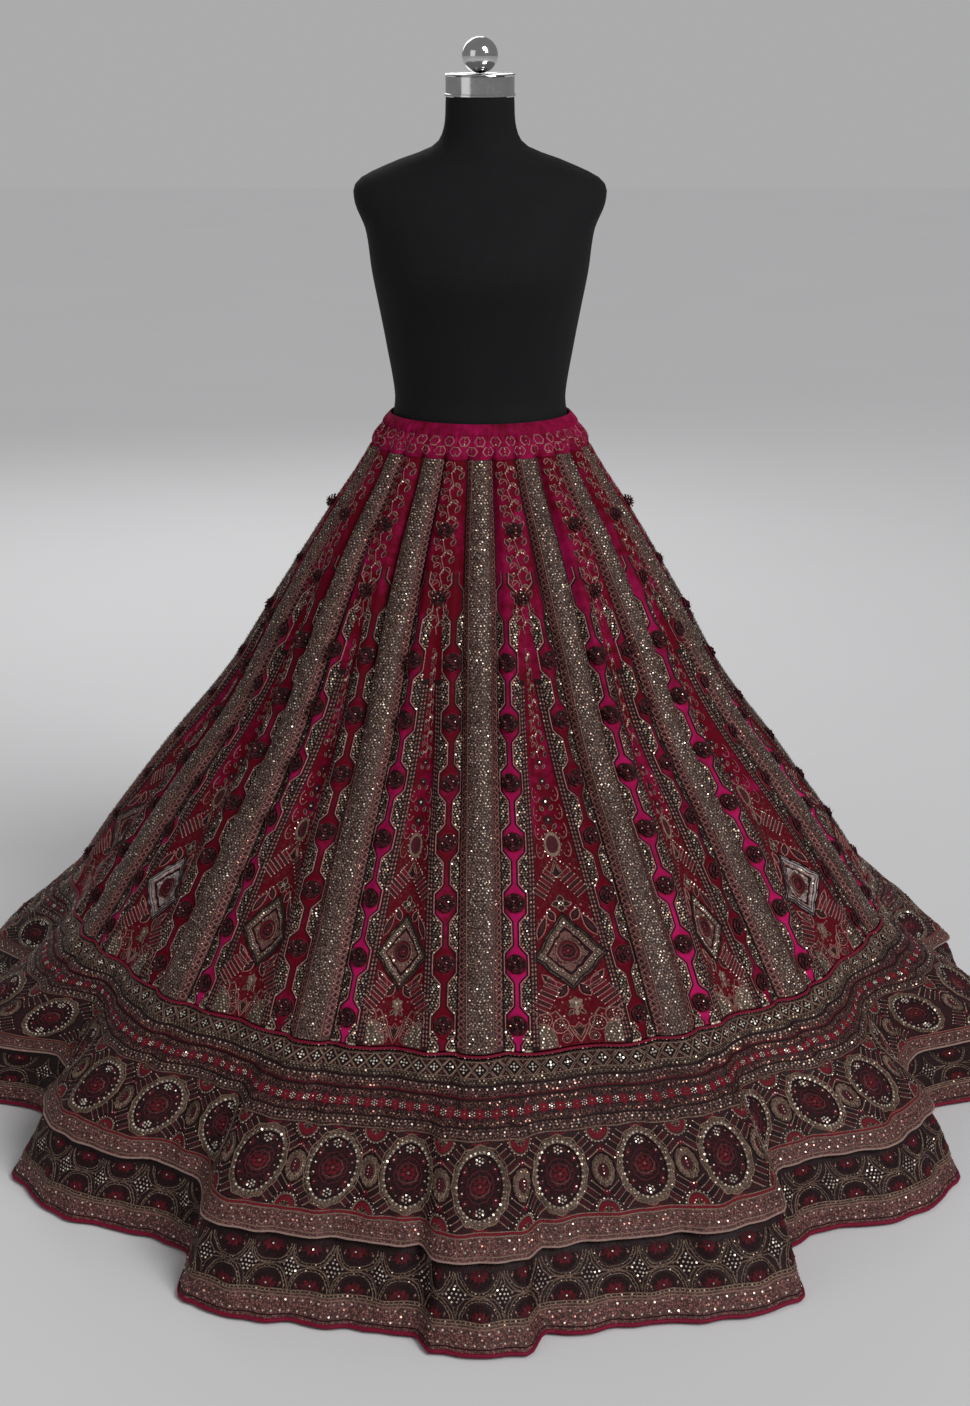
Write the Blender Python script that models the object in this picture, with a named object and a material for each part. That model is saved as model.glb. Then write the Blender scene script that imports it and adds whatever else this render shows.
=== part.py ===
"""Lehenga skirt on a dress form.

Fourteen sequin stripes and fourteen velvet gores hang from a gathered waistband
and open into a border of two tiers.  The cloth stands in fourteen deep folds.
Metres, +Z up, the skirt's front faces -Y, origin on the floor under the form.
"""

import math
from collections import namedtuple

import bmesh
import bpy
from mathutils import Vector

# Cloth
FOLD_COUNT = 14
FOLD_ANGLE = 2.0 * math.pi / FOLD_COUNT
CLOTH = 0.0020
SEAM_GAP = 0.0003
PIPING_THICKNESS = 0.0040
CENTRE_X = 0.0

# Heights of the horizontal seams
BAND_TOP = 0.9690
BAND_FOOT = 0.9250
PANEL_FOOT = 0.2620
PIPING_FOOT = 0.2570
UPPER_TIER_FOOT = 0.1180
TIER_RIBBON_FOOT = 0.1010
TIER_EDGE = 0.0955
LOWER_TIER_TOP = 0.1320
LOWER_TIER_FOOT = 0.0340
HEM_RIBBON_FOOT = 0.0110
HEM_HEIGHT = 0.0030
TIER_STANDS_OFF = 0.0085

FLANK_FOOT = 0.80

# Rosettes, raised out of the gores
ROSETTE_HEIGHT = 0.0080
ROSETTE_WIDTH = 0.0280
ROSETTE_ROOM = 0.80
ROSETTE_PITCH = 0.0810
FIRST_ROSETTE = 0.7900
CHAIN_WIDTH = 0.0380

# Sections of the panels from the waist to the border seam.
# radius: mean radius; flatten: depth over width; share: part of a fold that the stripe takes
# roll, groove, chain, centre: how far the stripe's middle, the seam beside it,
# the rosette chain and the gore's middle stand out from the mean radius
Section = namedtuple("Section", "name height radius flatten share roll groove chain centre")
SECTIONS = (
    Section("waist", 0.9250, 0.148, 0.87, 0.50, 0.004, -0.006, 0.002, 0.004),
    Section("yoke", 0.8850, 0.170, 0.89, 0.46, 0.007, -0.009, 0.003, 0.006),
    Section("hip", 0.8160, 0.214, 0.93, 0.42, 0.009, -0.011, 0.004, 0.006),
    Section("thigh", 0.7000, 0.281, 0.98, 0.36, 0.010, -0.012, 0.002, -0.007),
    Section("knee", 0.5720, 0.352, 1.00, 0.31, 0.010, -0.011, 0.001, -0.014),
    Section("calf", 0.4520, 0.442, 1.00, 0.28, 0.010, -0.009, 0.000, -0.016),
    Section("shin", 0.3450, 0.519, 1.00, 0.26, 0.008, -0.007, 0.000, -0.014),
    Section("seam", 0.2620, 0.575, 1.00, 0.25, 0.006, -0.005, 0.000, -0.010),
)

# How far the border has opened from the seam's radius (0) to the hem's (1)
Opening = namedtuple("Opening", "name height spread")
BORDER = (
    Opening("seam", 0.2620, 0.00),
    Opening("bands", 0.2150, 0.23),
    Opening("medallion_top", 0.1640, 0.48),
    Opening("medallion_foot", 0.1270, 0.66),
    Opening("tier_edge", 0.0955, 0.80),
    Opening("hem_ribbon", 0.0340, 0.94),
    Opening("hem", 0.0000, 1.00),
)

# One row for each fold, from the front round by the wearer's left.
# seam_lean, hem_lean: degrees that the fold wanders from its even place
# reach: the fold's radius at the hem; half: half width of its crest, in folds
# flank: width of the slope down to the hollow; hollow: radius of the hollow after it
# swell: how much further out the panels stand here
Fold = namedtuple("Fold", "name seam_lean hem_lean reach half flank hollow swell")
FOLDS = (
    Fold("front", 0.0, 0.0, 0.854, 0.160, 0.08, 0.812, 0.000),
    Fold("right_1", 0.5, -1.2, 0.834, 0.140, 0.20, 0.722, 0.000),
    Fold("right_2", -5.0, 0.0, 0.780, 0.130, 0.34, 0.680, 0.000),
    Fold("right_3", -3.0, 7.0, 0.814, 0.150, 0.30, 0.704, 0.008),
    Fold("right_4", -1.0, 6.0, 0.806, 0.140, 0.34, 0.700, 0.005),
    Fold("right_5", 1.0, 2.0, 0.822, 0.160, 0.30, 0.708, 0.000),
    Fold("right_6", 0.0, -2.0, 0.814, 0.130, 0.36, 0.696, 0.000),
    Fold("back", 1.5, 1.0, 0.832, 0.165, 0.30, 0.700, 0.000),
    Fold("left_6", 0.0, 3.0, 0.812, 0.150, 0.32, 0.706, 0.000),
    Fold("left_5", -1.0, -1.0, 0.826, 0.130, 0.34, 0.702, 0.008),
    Fold("left_4", 4.0, -4.0, 0.834, 0.150, 0.30, 0.700, 0.036),
    Fold("left_3", 6.0, -6.0, 0.812, 0.150, 0.30, 0.664, 0.010),
    Fold("left_2", 6.0, 1.0, 0.764, 0.130, 0.34, 0.722, 0.000),
    Fold("left_1", 3.5, 3.0, 0.824, 0.130, 0.20, 0.812, 0.000),
)

# Dress form, section by section; square: 2 is an ellipse, more is squarer
FormSection = namedtuple("FormSection", "name height half_width half_depth forward square")
FORM_SECTIONS = (
    FormSection("foot_edge", 0.700, 0.132, 0.104, 0.000, 2.2),
    FormSection("foot", 0.712, 0.142, 0.112, 0.000, 2.2),
    FormSection("hip", 0.785, 0.157, 0.124, 0.000, 2.2),
    FormSection("high_hip", 0.875, 0.144, 0.115, 0.002, 2.1),
    FormSection("band", 0.930, 0.127, 0.104, 0.002, 2.0),
    FormSection("under_waist", 0.969, 0.121, 0.099, 0.001, 2.0),
    FormSection("waist", 0.995, 0.119, 0.097, 0.000, 2.0),
    FormSection("ribs", 1.065, 0.130, 0.106, 0.002, 2.1),
    FormSection("under_bust", 1.110, 0.138, 0.114, 0.006, 2.1),
    FormSection("bust", 1.165, 0.148, 0.124, 0.010, 2.2),
    FormSection("chest", 1.220, 0.156, 0.112, 0.005, 2.3),
    FormSection("armhole", 1.258, 0.171, 0.094, -0.002, 2.4),
    FormSection("shoulder", 1.284, 0.166, 0.079, -0.006, 2.3),
    FormSection("shoulder_top", 1.308, 0.118, 0.067, -0.008, 2.1),
    FormSection("neck_root", 1.328, 0.066, 0.058, -0.004, 2.0),
    FormSection("neck", 1.350, 0.050, 0.049, 0.000, 2.0),
    FormSection("neck_top", 1.3940, 0.0460, 0.0460, 0.000, 2.0),
)
FORM_POINTS = 28
BAND_CLEARANCE = 0.0005
BAND_FLARE = 0.006

NECK_CAP_RADIUS = 0.0475
NECK_CAP_HEIGHT = 0.0300
FINIAL_RADIUS = 0.0240
POLE_RADIUS = 0.0160
BASE_RADIUS = 0.1800
BASE_HEIGHT = 0.0220

# name: colour, roughness, metallic
FINISHES = {
    "sequin_stripe": ((0.23, 0.17, 0.14), 0.38, 0.35),
    "crimson_velvet": ((0.30, 0.006, 0.035), 0.75, 0.0),
    "waistband_velvet": ((0.26, 0.008, 0.030), 0.70, 0.0),
    "red_piping": ((0.38, 0.007, 0.045), 0.55, 0.0),
    "medallion_border": ((0.11, 0.050, 0.040), 0.60, 0.1),
    "lattice_border": ((0.07, 0.035, 0.030), 0.62, 0.1),
    "pink_taupe_ribbon": ((0.23, 0.10, 0.09), 0.55, 0.1),
    "light_piping": ((0.50, 0.27, 0.25), 0.50, 0.0),
    "black_jersey": ((0.012, 0.012, 0.014), 0.80, 0.0),
    "polished_chrome": ((0.62, 0.62, 0.62), 0.12, 1.0),
    "stand_steel": ((0.10, 0.10, 0.11), 0.35, 1.0),
}


def finish(name):
    material = bpy.data.materials.get(name)
    if material is None:
        colour, roughness, metallic = FINISHES[name]
        material = bpy.data.materials.new(name)
        material.use_nodes = True
        shader = material.node_tree.nodes["Principled BSDF"]
        shader.inputs["Base Color"].default_value = (*colour, 1.0)
        shader.inputs["Roughness"].default_value = roughness
        shader.inputs["Metallic"].default_value = metallic
    return material


def fade(x):
    """1 at 0 and below, 0 at 1 and above, level at both ends."""
    x = min(max(x, 0.0), 1.0)
    return 1.0 - x * x * (3.0 - 2.0 * x)


def hermite(y0, y1, slope0, slope1, span, t):
    return (
        y0 * (1.0 + 2.0 * t) * (1.0 - t) ** 2
        + y1 * t * t * (3.0 - 2.0 * t)
        + span * t * (1.0 - t) * (slope0 * (1.0 - t) - slope1 * t)
    )


def read_table(rows, column, height):
    """A column of a table that runs down by height, smoothly between its rows."""
    heights = [row.height for row in rows]
    values = [getattr(row, column) for row in rows]
    if height >= heights[0]:
        return values[0]
    if height <= heights[-1]:
        return values[-1]
    k = next(k for k in range(len(rows) - 1) if heights[k + 1] <= height)

    def slope(j):
        low, high = max(j - 1, 0), min(j + 1, len(rows) - 1)
        return (values[high] - values[low]) / (heights[high] - heights[low])

    span = heights[k + 1] - heights[k]
    t = (height - heights[k]) / span
    return hermite(values[k], values[k + 1], slope(k), slope(k + 1), span, t)


def read_folds(column, u):
    """A column of the fold table at u folds round from the front."""
    k = math.floor(u)
    t = u - k
    v = [getattr(FOLDS[(k + j) % FOLD_COUNT], column) for j in (-1, 0, 1, 2)]
    return hermite(v[1], v[2], (v[2] - v[0]) / 2.0, (v[3] - v[1]) / 2.0, 1.0, t)


def across_fold(u, section):
    """How far the cloth stands out from the mean radius, across stripe and gore."""
    half = section["share"] / 2.0
    d = abs((u + 0.5) % 1.0 - 0.5)
    if d <= half:
        return section["groove"] + (section["roll"] - section["groove"]) * (1.0 - (d / half) ** 2) ** 0.7
    t = (d - half) / (0.5 - half)
    if t < 0.4:
        return section["chain"] + (section["groove"] - section["chain"]) * fade(t / 0.4)
    return section["centre"] + (section["chain"] - section["centre"]) * fade((t - 0.4) / 0.6)


def section_at(height):
    columns = ("radius", "flatten", "share", "roll", "groove", "chain", "centre")
    return {column: read_table(SECTIONS, column, height) for column in columns}


def hem_radius(u):
    k = math.floor(u) % FOLD_COUNT
    t = u - math.floor(u)
    here, after = FOLDS[k], FOLDS[(k + 1) % FOLD_COUNT]
    leaving = (here.reach - here.hollow) * fade((t - here.half) / here.flank)
    arriving = (after.reach - here.hollow) * fade((1.0 - t - after.half) / after.flank)
    return here.hollow + max(leaving, arriving)


def cloth_point(u, height):
    """Outer face of the cloth, u folds round and at a height."""
    section = section_at(height)
    down = (BAND_FOOT - height) / (BAND_FOOT - PANEL_FOOT)
    spread = read_table(BORDER, "spread", height)
    settle = 1.0 - fade(down)
    lean = read_folds("seam_lean", u) * settle
    lean += (read_folds("hem_lean", u) - read_folds("seam_lean", u)) * spread
    angle = u * FOLD_ANGLE + math.radians(lean)
    radius = section["radius"] + across_fold(u, section) + read_folds("swell", u) * settle
    if height < PANEL_FOOT:
        radius += (hem_radius(u) - radius) * spread
    x = CENTRE_X + radius * math.sin(angle)
    y = -radius * math.cos(angle) * section["flatten"]
    return Vector((x, y, height))


def radial(point):
    return Vector((point.x, point.y, 0.0)).normalized()


def row_outward(points, ring):
    """Level directions square to a row of points; a panel's end points go straight out."""
    last = len(points) - 1
    directions = []
    for j, point in enumerate(points):
        if not ring and j in (0, last):
            directions.append(radial(point))
            continue
        before = point - points[j - 1]
        after = points[(j + 1) % len(points)] - point
        sides = [Vector((side.y, -side.x, 0.0)).normalized() for side in (before, after)]
        middle = (sides[0] + sides[1]).normalized()
        directions.append(middle / max(middle.dot(sides[0]), 0.6))
    return directions


def level_thickness(u, height, out, cloth=CLOTH):
    """Thickness measured level, so that the sloping wall keeps its own."""
    step = 0.004
    rise = cloth_point(u, height + step) - cloth_point(u, height - step)
    slope = rise.dot(out.normalized()) / (2.0 * step)
    return cloth * math.sqrt(1.0 + slope * slope)


def add_object(name, mesh_builder, material):
    mesh = bpy.data.meshes.new(name)
    mesh_builder.normal_update()
    mesh_builder.to_mesh(mesh)
    mesh_builder.free()
    item = bpy.data.objects.new(name, mesh)
    bpy.context.scene.collection.objects.link(item)
    mesh.materials.append(finish(material))
    mesh.shade_smooth()
    mesh.set_sharp_from_angle(angle=math.radians(40.0))
    return item


def wall(name, outer, inner, material, ring, raised=None):
    """A closed wall from rows of outer and inner points, top row first."""
    build = bmesh.new()
    out = [[build.verts.new(p) for p in row] for row in outer]
    ins = [[build.verts.new(p) for p in row] for row in inner]
    rows, count = len(out), len(out[0])
    spans = count if ring else count - 1
    for r in range(rows - 1):
        for c in range(spans):
            d = (c + 1) % count
            if raised and raised(r, c):
                raise_rosette(build, (out[r][c], out[r + 1][c], out[r + 1][d], out[r][d]))
            else:
                build.faces.new((out[r][c], out[r + 1][c], out[r + 1][d]))
                build.faces.new((out[r][c], out[r + 1][d], out[r][d]))
            build.faces.new((ins[r + 1][d], ins[r + 1][c], ins[r][c]))
            build.faces.new((ins[r][d], ins[r + 1][d], ins[r][c]))
    for c in range(spans):
        d = (c + 1) % count
        build.faces.new((out[0][d], ins[0][d], ins[0][c], out[0][c]))
        build.faces.new((out[-1][c], ins[-1][c], ins[-1][d], out[-1][d]))
    if not ring:
        for r in range(rows - 1):
            build.faces.new((out[r][0], ins[r][0], ins[r + 1][0]))
            build.faces.new((out[r][0], ins[r + 1][0], out[r + 1][0]))
            build.faces.new((out[r][-1], ins[r + 1][-1], ins[r][-1]))
            build.faces.new((out[r][-1], out[r + 1][-1], ins[r + 1][-1]))
    return add_object(name, build, material)


def raise_rosette(build, corners):
    """A peaked boss in the middle of one outer face, its foot on the cloth."""
    points = [v.co for v in corners]
    middle = sum(points, Vector()) / 4.0
    across = ((points[3] + points[2]) - (points[0] + points[1])).normalized()
    down = ((points[1] + points[2]) - (points[0] + points[3])).normalized()
    room = min((points[3] - points[0]).length, (points[2] - points[1]).length)
    half = ROSETTE_WIDTH / 2.0
    half_across = min(half, room * ROSETTE_ROOM / 2.0)
    foot = [
        build.verts.new(middle + across * (sx * half_across) + down * (sy * half))
        for sx, sy in ((-1, -1), (-1, 1), (1, 1), (1, -1))
    ]
    peak = build.verts.new(middle + down.cross(across).normalized() * ROSETTE_HEIGHT)
    for j in range(4):
        k = (j + 1) % 4
        build.faces.new((corners[j], corners[k], foot[k], foot[j]))
        build.faces.new((foot[j], foot[k], peak))


def slant_heights(top, foot, pitch):
    """Heights that step evenly down the cloth of a stripe."""
    steps = 400
    heights = [top + (foot - top) * j / steps for j in range(steps + 1)]
    points = [cloth_point(0.0, h) for h in heights]
    travelled = [0.0]
    for a, b in zip(points, points[1:]):
        travelled.append(travelled[-1] + (b - a).length)
    count = max(1, round(travelled[-1] / pitch))
    marks = [travelled[-1] * j / count for j in range(count + 1)]
    return [heights[min(range(steps + 1), key=lambda j: abs(travelled[j] - m))] for m in marks]


def panel(name, columns_at, heights, material, raised=None):
    """A panel between two long seams; columns_at gives its columns at a height."""
    outer, inner = [], []
    for height in heights:
        columns = columns_at(height)
        points = [cloth_point(u, height) for u in columns]
        directions = row_outward(points, ring=False)
        for end, side in ((0, 1.0), (-1, -1.0)):
            along = Vector((-directions[end].y, directions[end].x, 0.0))
            points[end] = points[end] + along * side * SEAM_GAP / 2.0
        outer.append(points)
        inner.append(
            [p - out * level_thickness(u, height, out) for u, p, out in zip(columns, points, directions)]
        )
    return wall(name, outer, inner, material, ring=False, raised=raised)


def stripe_columns(fold):
    def at(height):
        half = read_table(SECTIONS, "share", height) / 2.0
        return [fold + half * t for t in (-1.0, -0.5, 0.5, 1.0)]

    return at


def gore_columns(fold):
    def at(height):
        half = read_table(SECTIONS, "share", height) / 2.0
        half_gore = (0.5 - half) * FOLD_ANGLE * read_table(SECTIONS, "radius", height)
        chain = min(CHAIN_WIDTH / half_gore, 0.62)
        inner = (0.5 - half) * (1.0 - chain)
        middle = fold + 0.5
        return [fold + half, middle - inner, middle, middle + inner, fold + 1.0 - half]

    return at


def border_columns():
    """Six columns for each fold: the edges of its crest, its slopes and the hollow."""
    columns = []
    for k, here in enumerate(FOLDS):
        after = FOLDS[(k + 1) % FOLD_COUNT]
        crest_end, next_crest = k + here.half, k + 1.0 - after.half
        foot = crest_end + here.flank * FLANK_FOOT
        next_foot = next_crest - after.flank * FLANK_FOOT
        columns += [k, crest_end, foot]
        columns += [(foot + next_foot) / 2.0, next_foot, next_crest]
    return columns


def border_ring(name, heights, material, thickness=CLOTH, set_in=None):
    """A ring of the border; set_in gives how far it lies inside the cloth's outer face."""
    columns = border_columns()
    outer, inner = [], []
    for height in heights:
        face = [cloth_point(u, height) for u in columns]
        out_row, in_row = [], []
        for u, point, out in zip(columns, face, row_outward(face, ring=True)):
            if set_in:
                point = point - out * set_in(u, height, out)
            out_row.append(point)
            in_row.append(point - out * level_thickness(u, height, out, thickness))
        outer.append(out_row)
        inner.append(in_row)
    return wall(name, outer, inner, material, ring=True)


def lower_tier_set_in(u, height, out):
    """Touching the upper tier at the top, standing in from its free edge, level at the hem."""
    wall_behind = level_thickness(u, height, out) + SEAM_GAP
    if height >= TIER_EDGE:
        clear = (LOWER_TIER_TOP - height) / (LOWER_TIER_TOP - TIER_EDGE)
        return wall_behind + TIER_STANDS_OFF * clear
    return (wall_behind + TIER_STANDS_OFF) * height / TIER_EDGE


def stacked(top, foot, count):
    """Heights from one seam to the next, with half the seam's gap left at each end."""
    top -= SEAM_GAP / 2.0
    foot += SEAM_GAP / 2.0
    return [top + (foot - top) * j / count for j in range(count + 1)]


def form_radii(height):
    columns = ("half_width", "half_depth", "forward", "square")
    rows = FORM_SECTIONS[::-1]
    return [read_table(rows, column, height) for column in columns]


def form_point(angle, height, grow=0.0):
    half_width, half_depth, forward, square = form_radii(height)
    sine, cosine = math.sin(angle), math.cos(angle)
    x = (half_width + grow) * math.copysign(abs(sine) ** (2.0 / square), sine)
    y = -(half_depth + grow) * math.copysign(abs(cosine) ** (2.0 / square), cosine) - forward
    return Vector((x, y, height))


def make_waistband():
    points = FORM_POINTS * 2
    heights = stacked(BAND_TOP, BAND_FOOT, 2)
    outer, inner = [], []
    for height in heights:
        down = (BAND_TOP - height) / (BAND_TOP - BAND_FOOT)
        out_row, in_row = [], []
        for j in range(points):
            angle = 2.0 * math.pi * j / points
            u = angle / FOLD_ANGLE
            near = form_point(angle, height, BAND_CLEARANCE + BAND_FLARE * down)
            skirt = cloth_point(u, BAND_FOOT)
            skirt -= radial(skirt) * CLOTH
            point = near.lerp(Vector((skirt.x, skirt.y, height)), down ** 1.4)
            in_row.append(point)
            out_row.append(point + radial(point) * level_thickness(u, BAND_FOOT, radial(point)))
        outer.append(out_row)
        inner.append(in_row)
    wall("waistband", outer, inner, "waistband_velvet", ring=True)


def make_panels():
    heights = slant_heights(BAND_FOOT - SEAM_GAP / 2.0, PANEL_FOOT + SEAM_GAP / 2.0, ROSETTE_PITCH)
    for fold in range(FOLD_COUNT):
        panel(f"stripe_{fold:02d}", stripe_columns(fold), heights, "sequin_stripe")

        def carries_rosette(row, column):
            return column in (0, 3) and heights[row] < FIRST_ROSETTE

        panel(f"gore_{fold:02d}", gore_columns(fold), heights, "crimson_velvet", carries_rosette)


def make_border():
    border_ring("seam_piping", stacked(PANEL_FOOT, PIPING_FOOT, 1), "red_piping", PIPING_THICKNESS)
    upper = stacked(PIPING_FOOT, LOWER_TIER_TOP - SEAM_GAP / 2.0, 3) + [UPPER_TIER_FOOT + SEAM_GAP / 2.0]
    border_ring("upper_tier", upper, "medallion_border")
    border_ring("tier_ribbon", stacked(UPPER_TIER_FOOT, TIER_RIBBON_FOOT, 1), "pink_taupe_ribbon")
    border_ring("tier_piping", stacked(TIER_RIBBON_FOOT, TIER_EDGE, 1), "light_piping")
    lower = [LOWER_TIER_TOP, UPPER_TIER_FOOT, TIER_EDGE, LOWER_TIER_FOOT + SEAM_GAP / 2.0]
    border_ring("lower_tier", lower, "lattice_border", set_in=lower_tier_set_in)
    ribbon = stacked(LOWER_TIER_FOOT, HEM_RIBBON_FOOT, 1)
    border_ring("hem_ribbon", ribbon, "pink_taupe_ribbon", set_in=lower_tier_set_in)
    piping = stacked(HEM_RIBBON_FOOT, HEM_HEIGHT, 1)
    border_ring("hem_piping", piping, "red_piping", PIPING_THICKNESS, set_in=lower_tier_set_in)


def turned(name, profile, points, material):
    """A solid of revolution from (radius, height) pairs, foot first; radius 0 closes it."""
    build = bmesh.new()
    rings = []
    for radius, height in profile:
        if radius == 0.0:
            rings.append([build.verts.new((0.0, 0.0, height))] * points)
            continue
        angles = [2.0 * math.pi * j / points for j in range(points)]
        rings.append([build.verts.new((radius * math.cos(a), radius * math.sin(a), height)) for a in angles])
    for low, high in zip(rings, rings[1:]):
        for j in range(points):
            k = (j + 1) % points
            corners = []
            for vert in (low[j], low[k], high[k], high[j]):
                if vert not in corners:
                    corners.append(vert)
            build.faces.new(corners)
    return add_object(name, build, material)


def make_form():
    build = bmesh.new()
    rings = []
    for section in FORM_SECTIONS:
        angles = [2.0 * math.pi * j / FORM_POINTS for j in range(FORM_POINTS)]
        rings.append([build.verts.new(form_point(a, section.height)) for a in angles])
    for low, high in zip(rings, rings[1:]):
        for j in range(FORM_POINTS):
            k = (j + 1) % FORM_POINTS
            build.faces.new((low[j], low[k], high[k], high[j]))
    build.faces.new(rings[0][::-1])
    build.faces.new(rings[-1])
    add_object("form_torso", build, "black_jersey")

    cap_foot = FORM_SECTIONS[-1].height + SEAM_GAP
    cap_top = cap_foot + NECK_CAP_HEIGHT
    edge = 0.0015
    cap = (
        (0.0, cap_foot),
        (NECK_CAP_RADIUS - edge, cap_foot),
        (NECK_CAP_RADIUS, cap_foot + edge),
        (NECK_CAP_RADIUS, cap_top - edge),
        (NECK_CAP_RADIUS - edge, cap_top),
        (0.0, cap_top),
    )
    turned("form_neck_cap", cap, 28, "polished_chrome")

    seat = math.radians(14.0)
    steps = 8
    angles = [seat + (math.pi - seat) * j / steps for j in range(steps + 1)]
    centre = cap_top + SEAM_GAP + FINIAL_RADIUS * math.cos(seat)
    ball = [(0.0, cap_top + SEAM_GAP)]
    ball += [(FINIAL_RADIUS * math.sin(a), centre - FINIAL_RADIUS * math.cos(a)) for a in angles[:-1]]
    ball.append((0.0, centre + FINIAL_RADIUS))
    turned("form_finial", ball, 16, "polished_chrome")

    pole_top = FORM_SECTIONS[0].height - SEAM_GAP
    pole_foot = BASE_HEIGHT + SEAM_GAP
    pole = ((0.0, pole_foot), (POLE_RADIUS, pole_foot), (POLE_RADIUS, pole_top), (0.0, pole_top))
    turned("form_pole", pole, 16, "stand_steel")

    base = (
        (0.0, 0.0),
        (BASE_RADIUS - 0.002, 0.0),
        (BASE_RADIUS, 0.003),
        (BASE_RADIUS, 0.010),
        (BASE_RADIUS - 0.010, 0.015),
        (POLE_RADIUS * 2.0, BASE_HEIGHT),
        (0.0, BASE_HEIGHT),
    )
    turned("form_base", base, 36, "stand_steel")


def main():
    for item in list(bpy.data.objects):
        bpy.data.objects.remove(item, do_unlink=True)
    make_waistband()
    make_panels()
    make_border()
    make_form()


main()
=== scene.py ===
"""Lehenga skirt on a dress form: cloth, needlework, dress form and studio.

Metres, +Z up, the skirt's front faces -Y, origin on the floor under the form.
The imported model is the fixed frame, and every piece rides on its body.
"""

import functools
import math

import bpy
import numpy as np
from bpy.props import FloatProperty, FloatVectorProperty, PointerProperty
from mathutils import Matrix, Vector


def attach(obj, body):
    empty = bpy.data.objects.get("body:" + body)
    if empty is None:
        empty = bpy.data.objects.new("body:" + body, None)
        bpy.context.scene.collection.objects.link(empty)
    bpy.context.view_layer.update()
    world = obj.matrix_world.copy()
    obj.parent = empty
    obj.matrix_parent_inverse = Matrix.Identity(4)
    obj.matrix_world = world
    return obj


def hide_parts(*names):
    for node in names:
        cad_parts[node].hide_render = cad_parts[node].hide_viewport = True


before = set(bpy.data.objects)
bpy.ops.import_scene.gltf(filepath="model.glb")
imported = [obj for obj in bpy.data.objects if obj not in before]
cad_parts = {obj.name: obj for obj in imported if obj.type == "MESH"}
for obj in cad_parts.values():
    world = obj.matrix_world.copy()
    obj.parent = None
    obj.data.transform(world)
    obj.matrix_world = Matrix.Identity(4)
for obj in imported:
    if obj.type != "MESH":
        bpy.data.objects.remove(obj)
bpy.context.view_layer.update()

bl_info = {
    "name": "Lehenga skirt",
    "version": (1, 0, 0),
    "blender": (4, 5, 0),
    "location": "3D View > Sidebar > Lehenga",
    "description": "Builds an embroidered lehenga skirt on a dress form",
    "category": "Object",
}

BODY = "root"
UV_NAME = "cloth"
SIDE_COLUMN = 0.52

# Cloth, with the names and numbers of the part's source
FOLD_COUNT = 14
FOLD_ANGLE = 2.0 * math.pi / FOLD_COUNT
SEAM_GAP = 0.0003
BAND_TOP = 0.9690
BAND_FOOT = 0.9250
PANEL_FOOT = 0.2620
PIPING_FOOT = 0.2570
UPPER_TIER_FOOT = 0.1180
TIER_EDGE = 0.0955
LOWER_TIER_TOP = 0.1320
LOWER_TIER_FOOT = 0.0340
HEM_HEIGHT = 0.0030
TIER_STANDS_OFF = 0.0085
ROSETTE_PITCH = 0.0800
FIRST_ROSETTE_FALL = 0.2800
LAST_ROSETTE_FALL = 0.7600
CHAIN_WIDTH = 0.0360
TRIM_WIDTH = 0.0085
TRIM_START = 0.305
TRIM_CORDS = (
    (0.0, "dark_cord", 0.0024, 0.0012),
    (TRIM_WIDTH / 2.0, "dark_cord", TRIM_WIDTH, 0.0005),
    (TRIM_WIDTH, "dark_cord", 0.0018, 0.0012),
)
WORKED_FROM = 0.520
OVAL_FALL = 0.530
DIAMOND_FALL = 0.672
ROSETTE_SIZE = 0.80
SILVER_GORES = (2, 6, 8, 11)

SECTION_NAMES = "height radius flatten share roll groove chain centre"
SECTION_ROWS = (
    (0.9250, 0.148, 0.87, 0.50, 0.004, -0.006, 0.002, 0.004),
    (0.8850, 0.170, 0.89, 0.46, 0.007, -0.009, 0.003, 0.006),
    (0.8160, 0.214, 0.93, 0.42, 0.009, -0.011, 0.004, 0.006),
    (0.7000, 0.281, 0.98, 0.36, 0.010, -0.012, 0.002, -0.007),
    (0.5720, 0.352, 1.00, 0.31, 0.010, -0.011, 0.001, -0.014),
    (0.4520, 0.442, 1.00, 0.28, 0.010, -0.009, 0.000, -0.016),
    (0.3450, 0.519, 1.00, 0.26, 0.008, -0.007, 0.000, -0.014),
    (0.2620, 0.575, 1.00, 0.25, 0.006, -0.005, 0.000, -0.010),
)
BORDER_ROWS = (
    (0.2620, 0.00),
    (0.2150, 0.23),
    (0.1640, 0.48),
    (0.1270, 0.66),
    (0.0955, 0.80),
    (0.0340, 0.94),
    (0.0000, 1.00),
)
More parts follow.
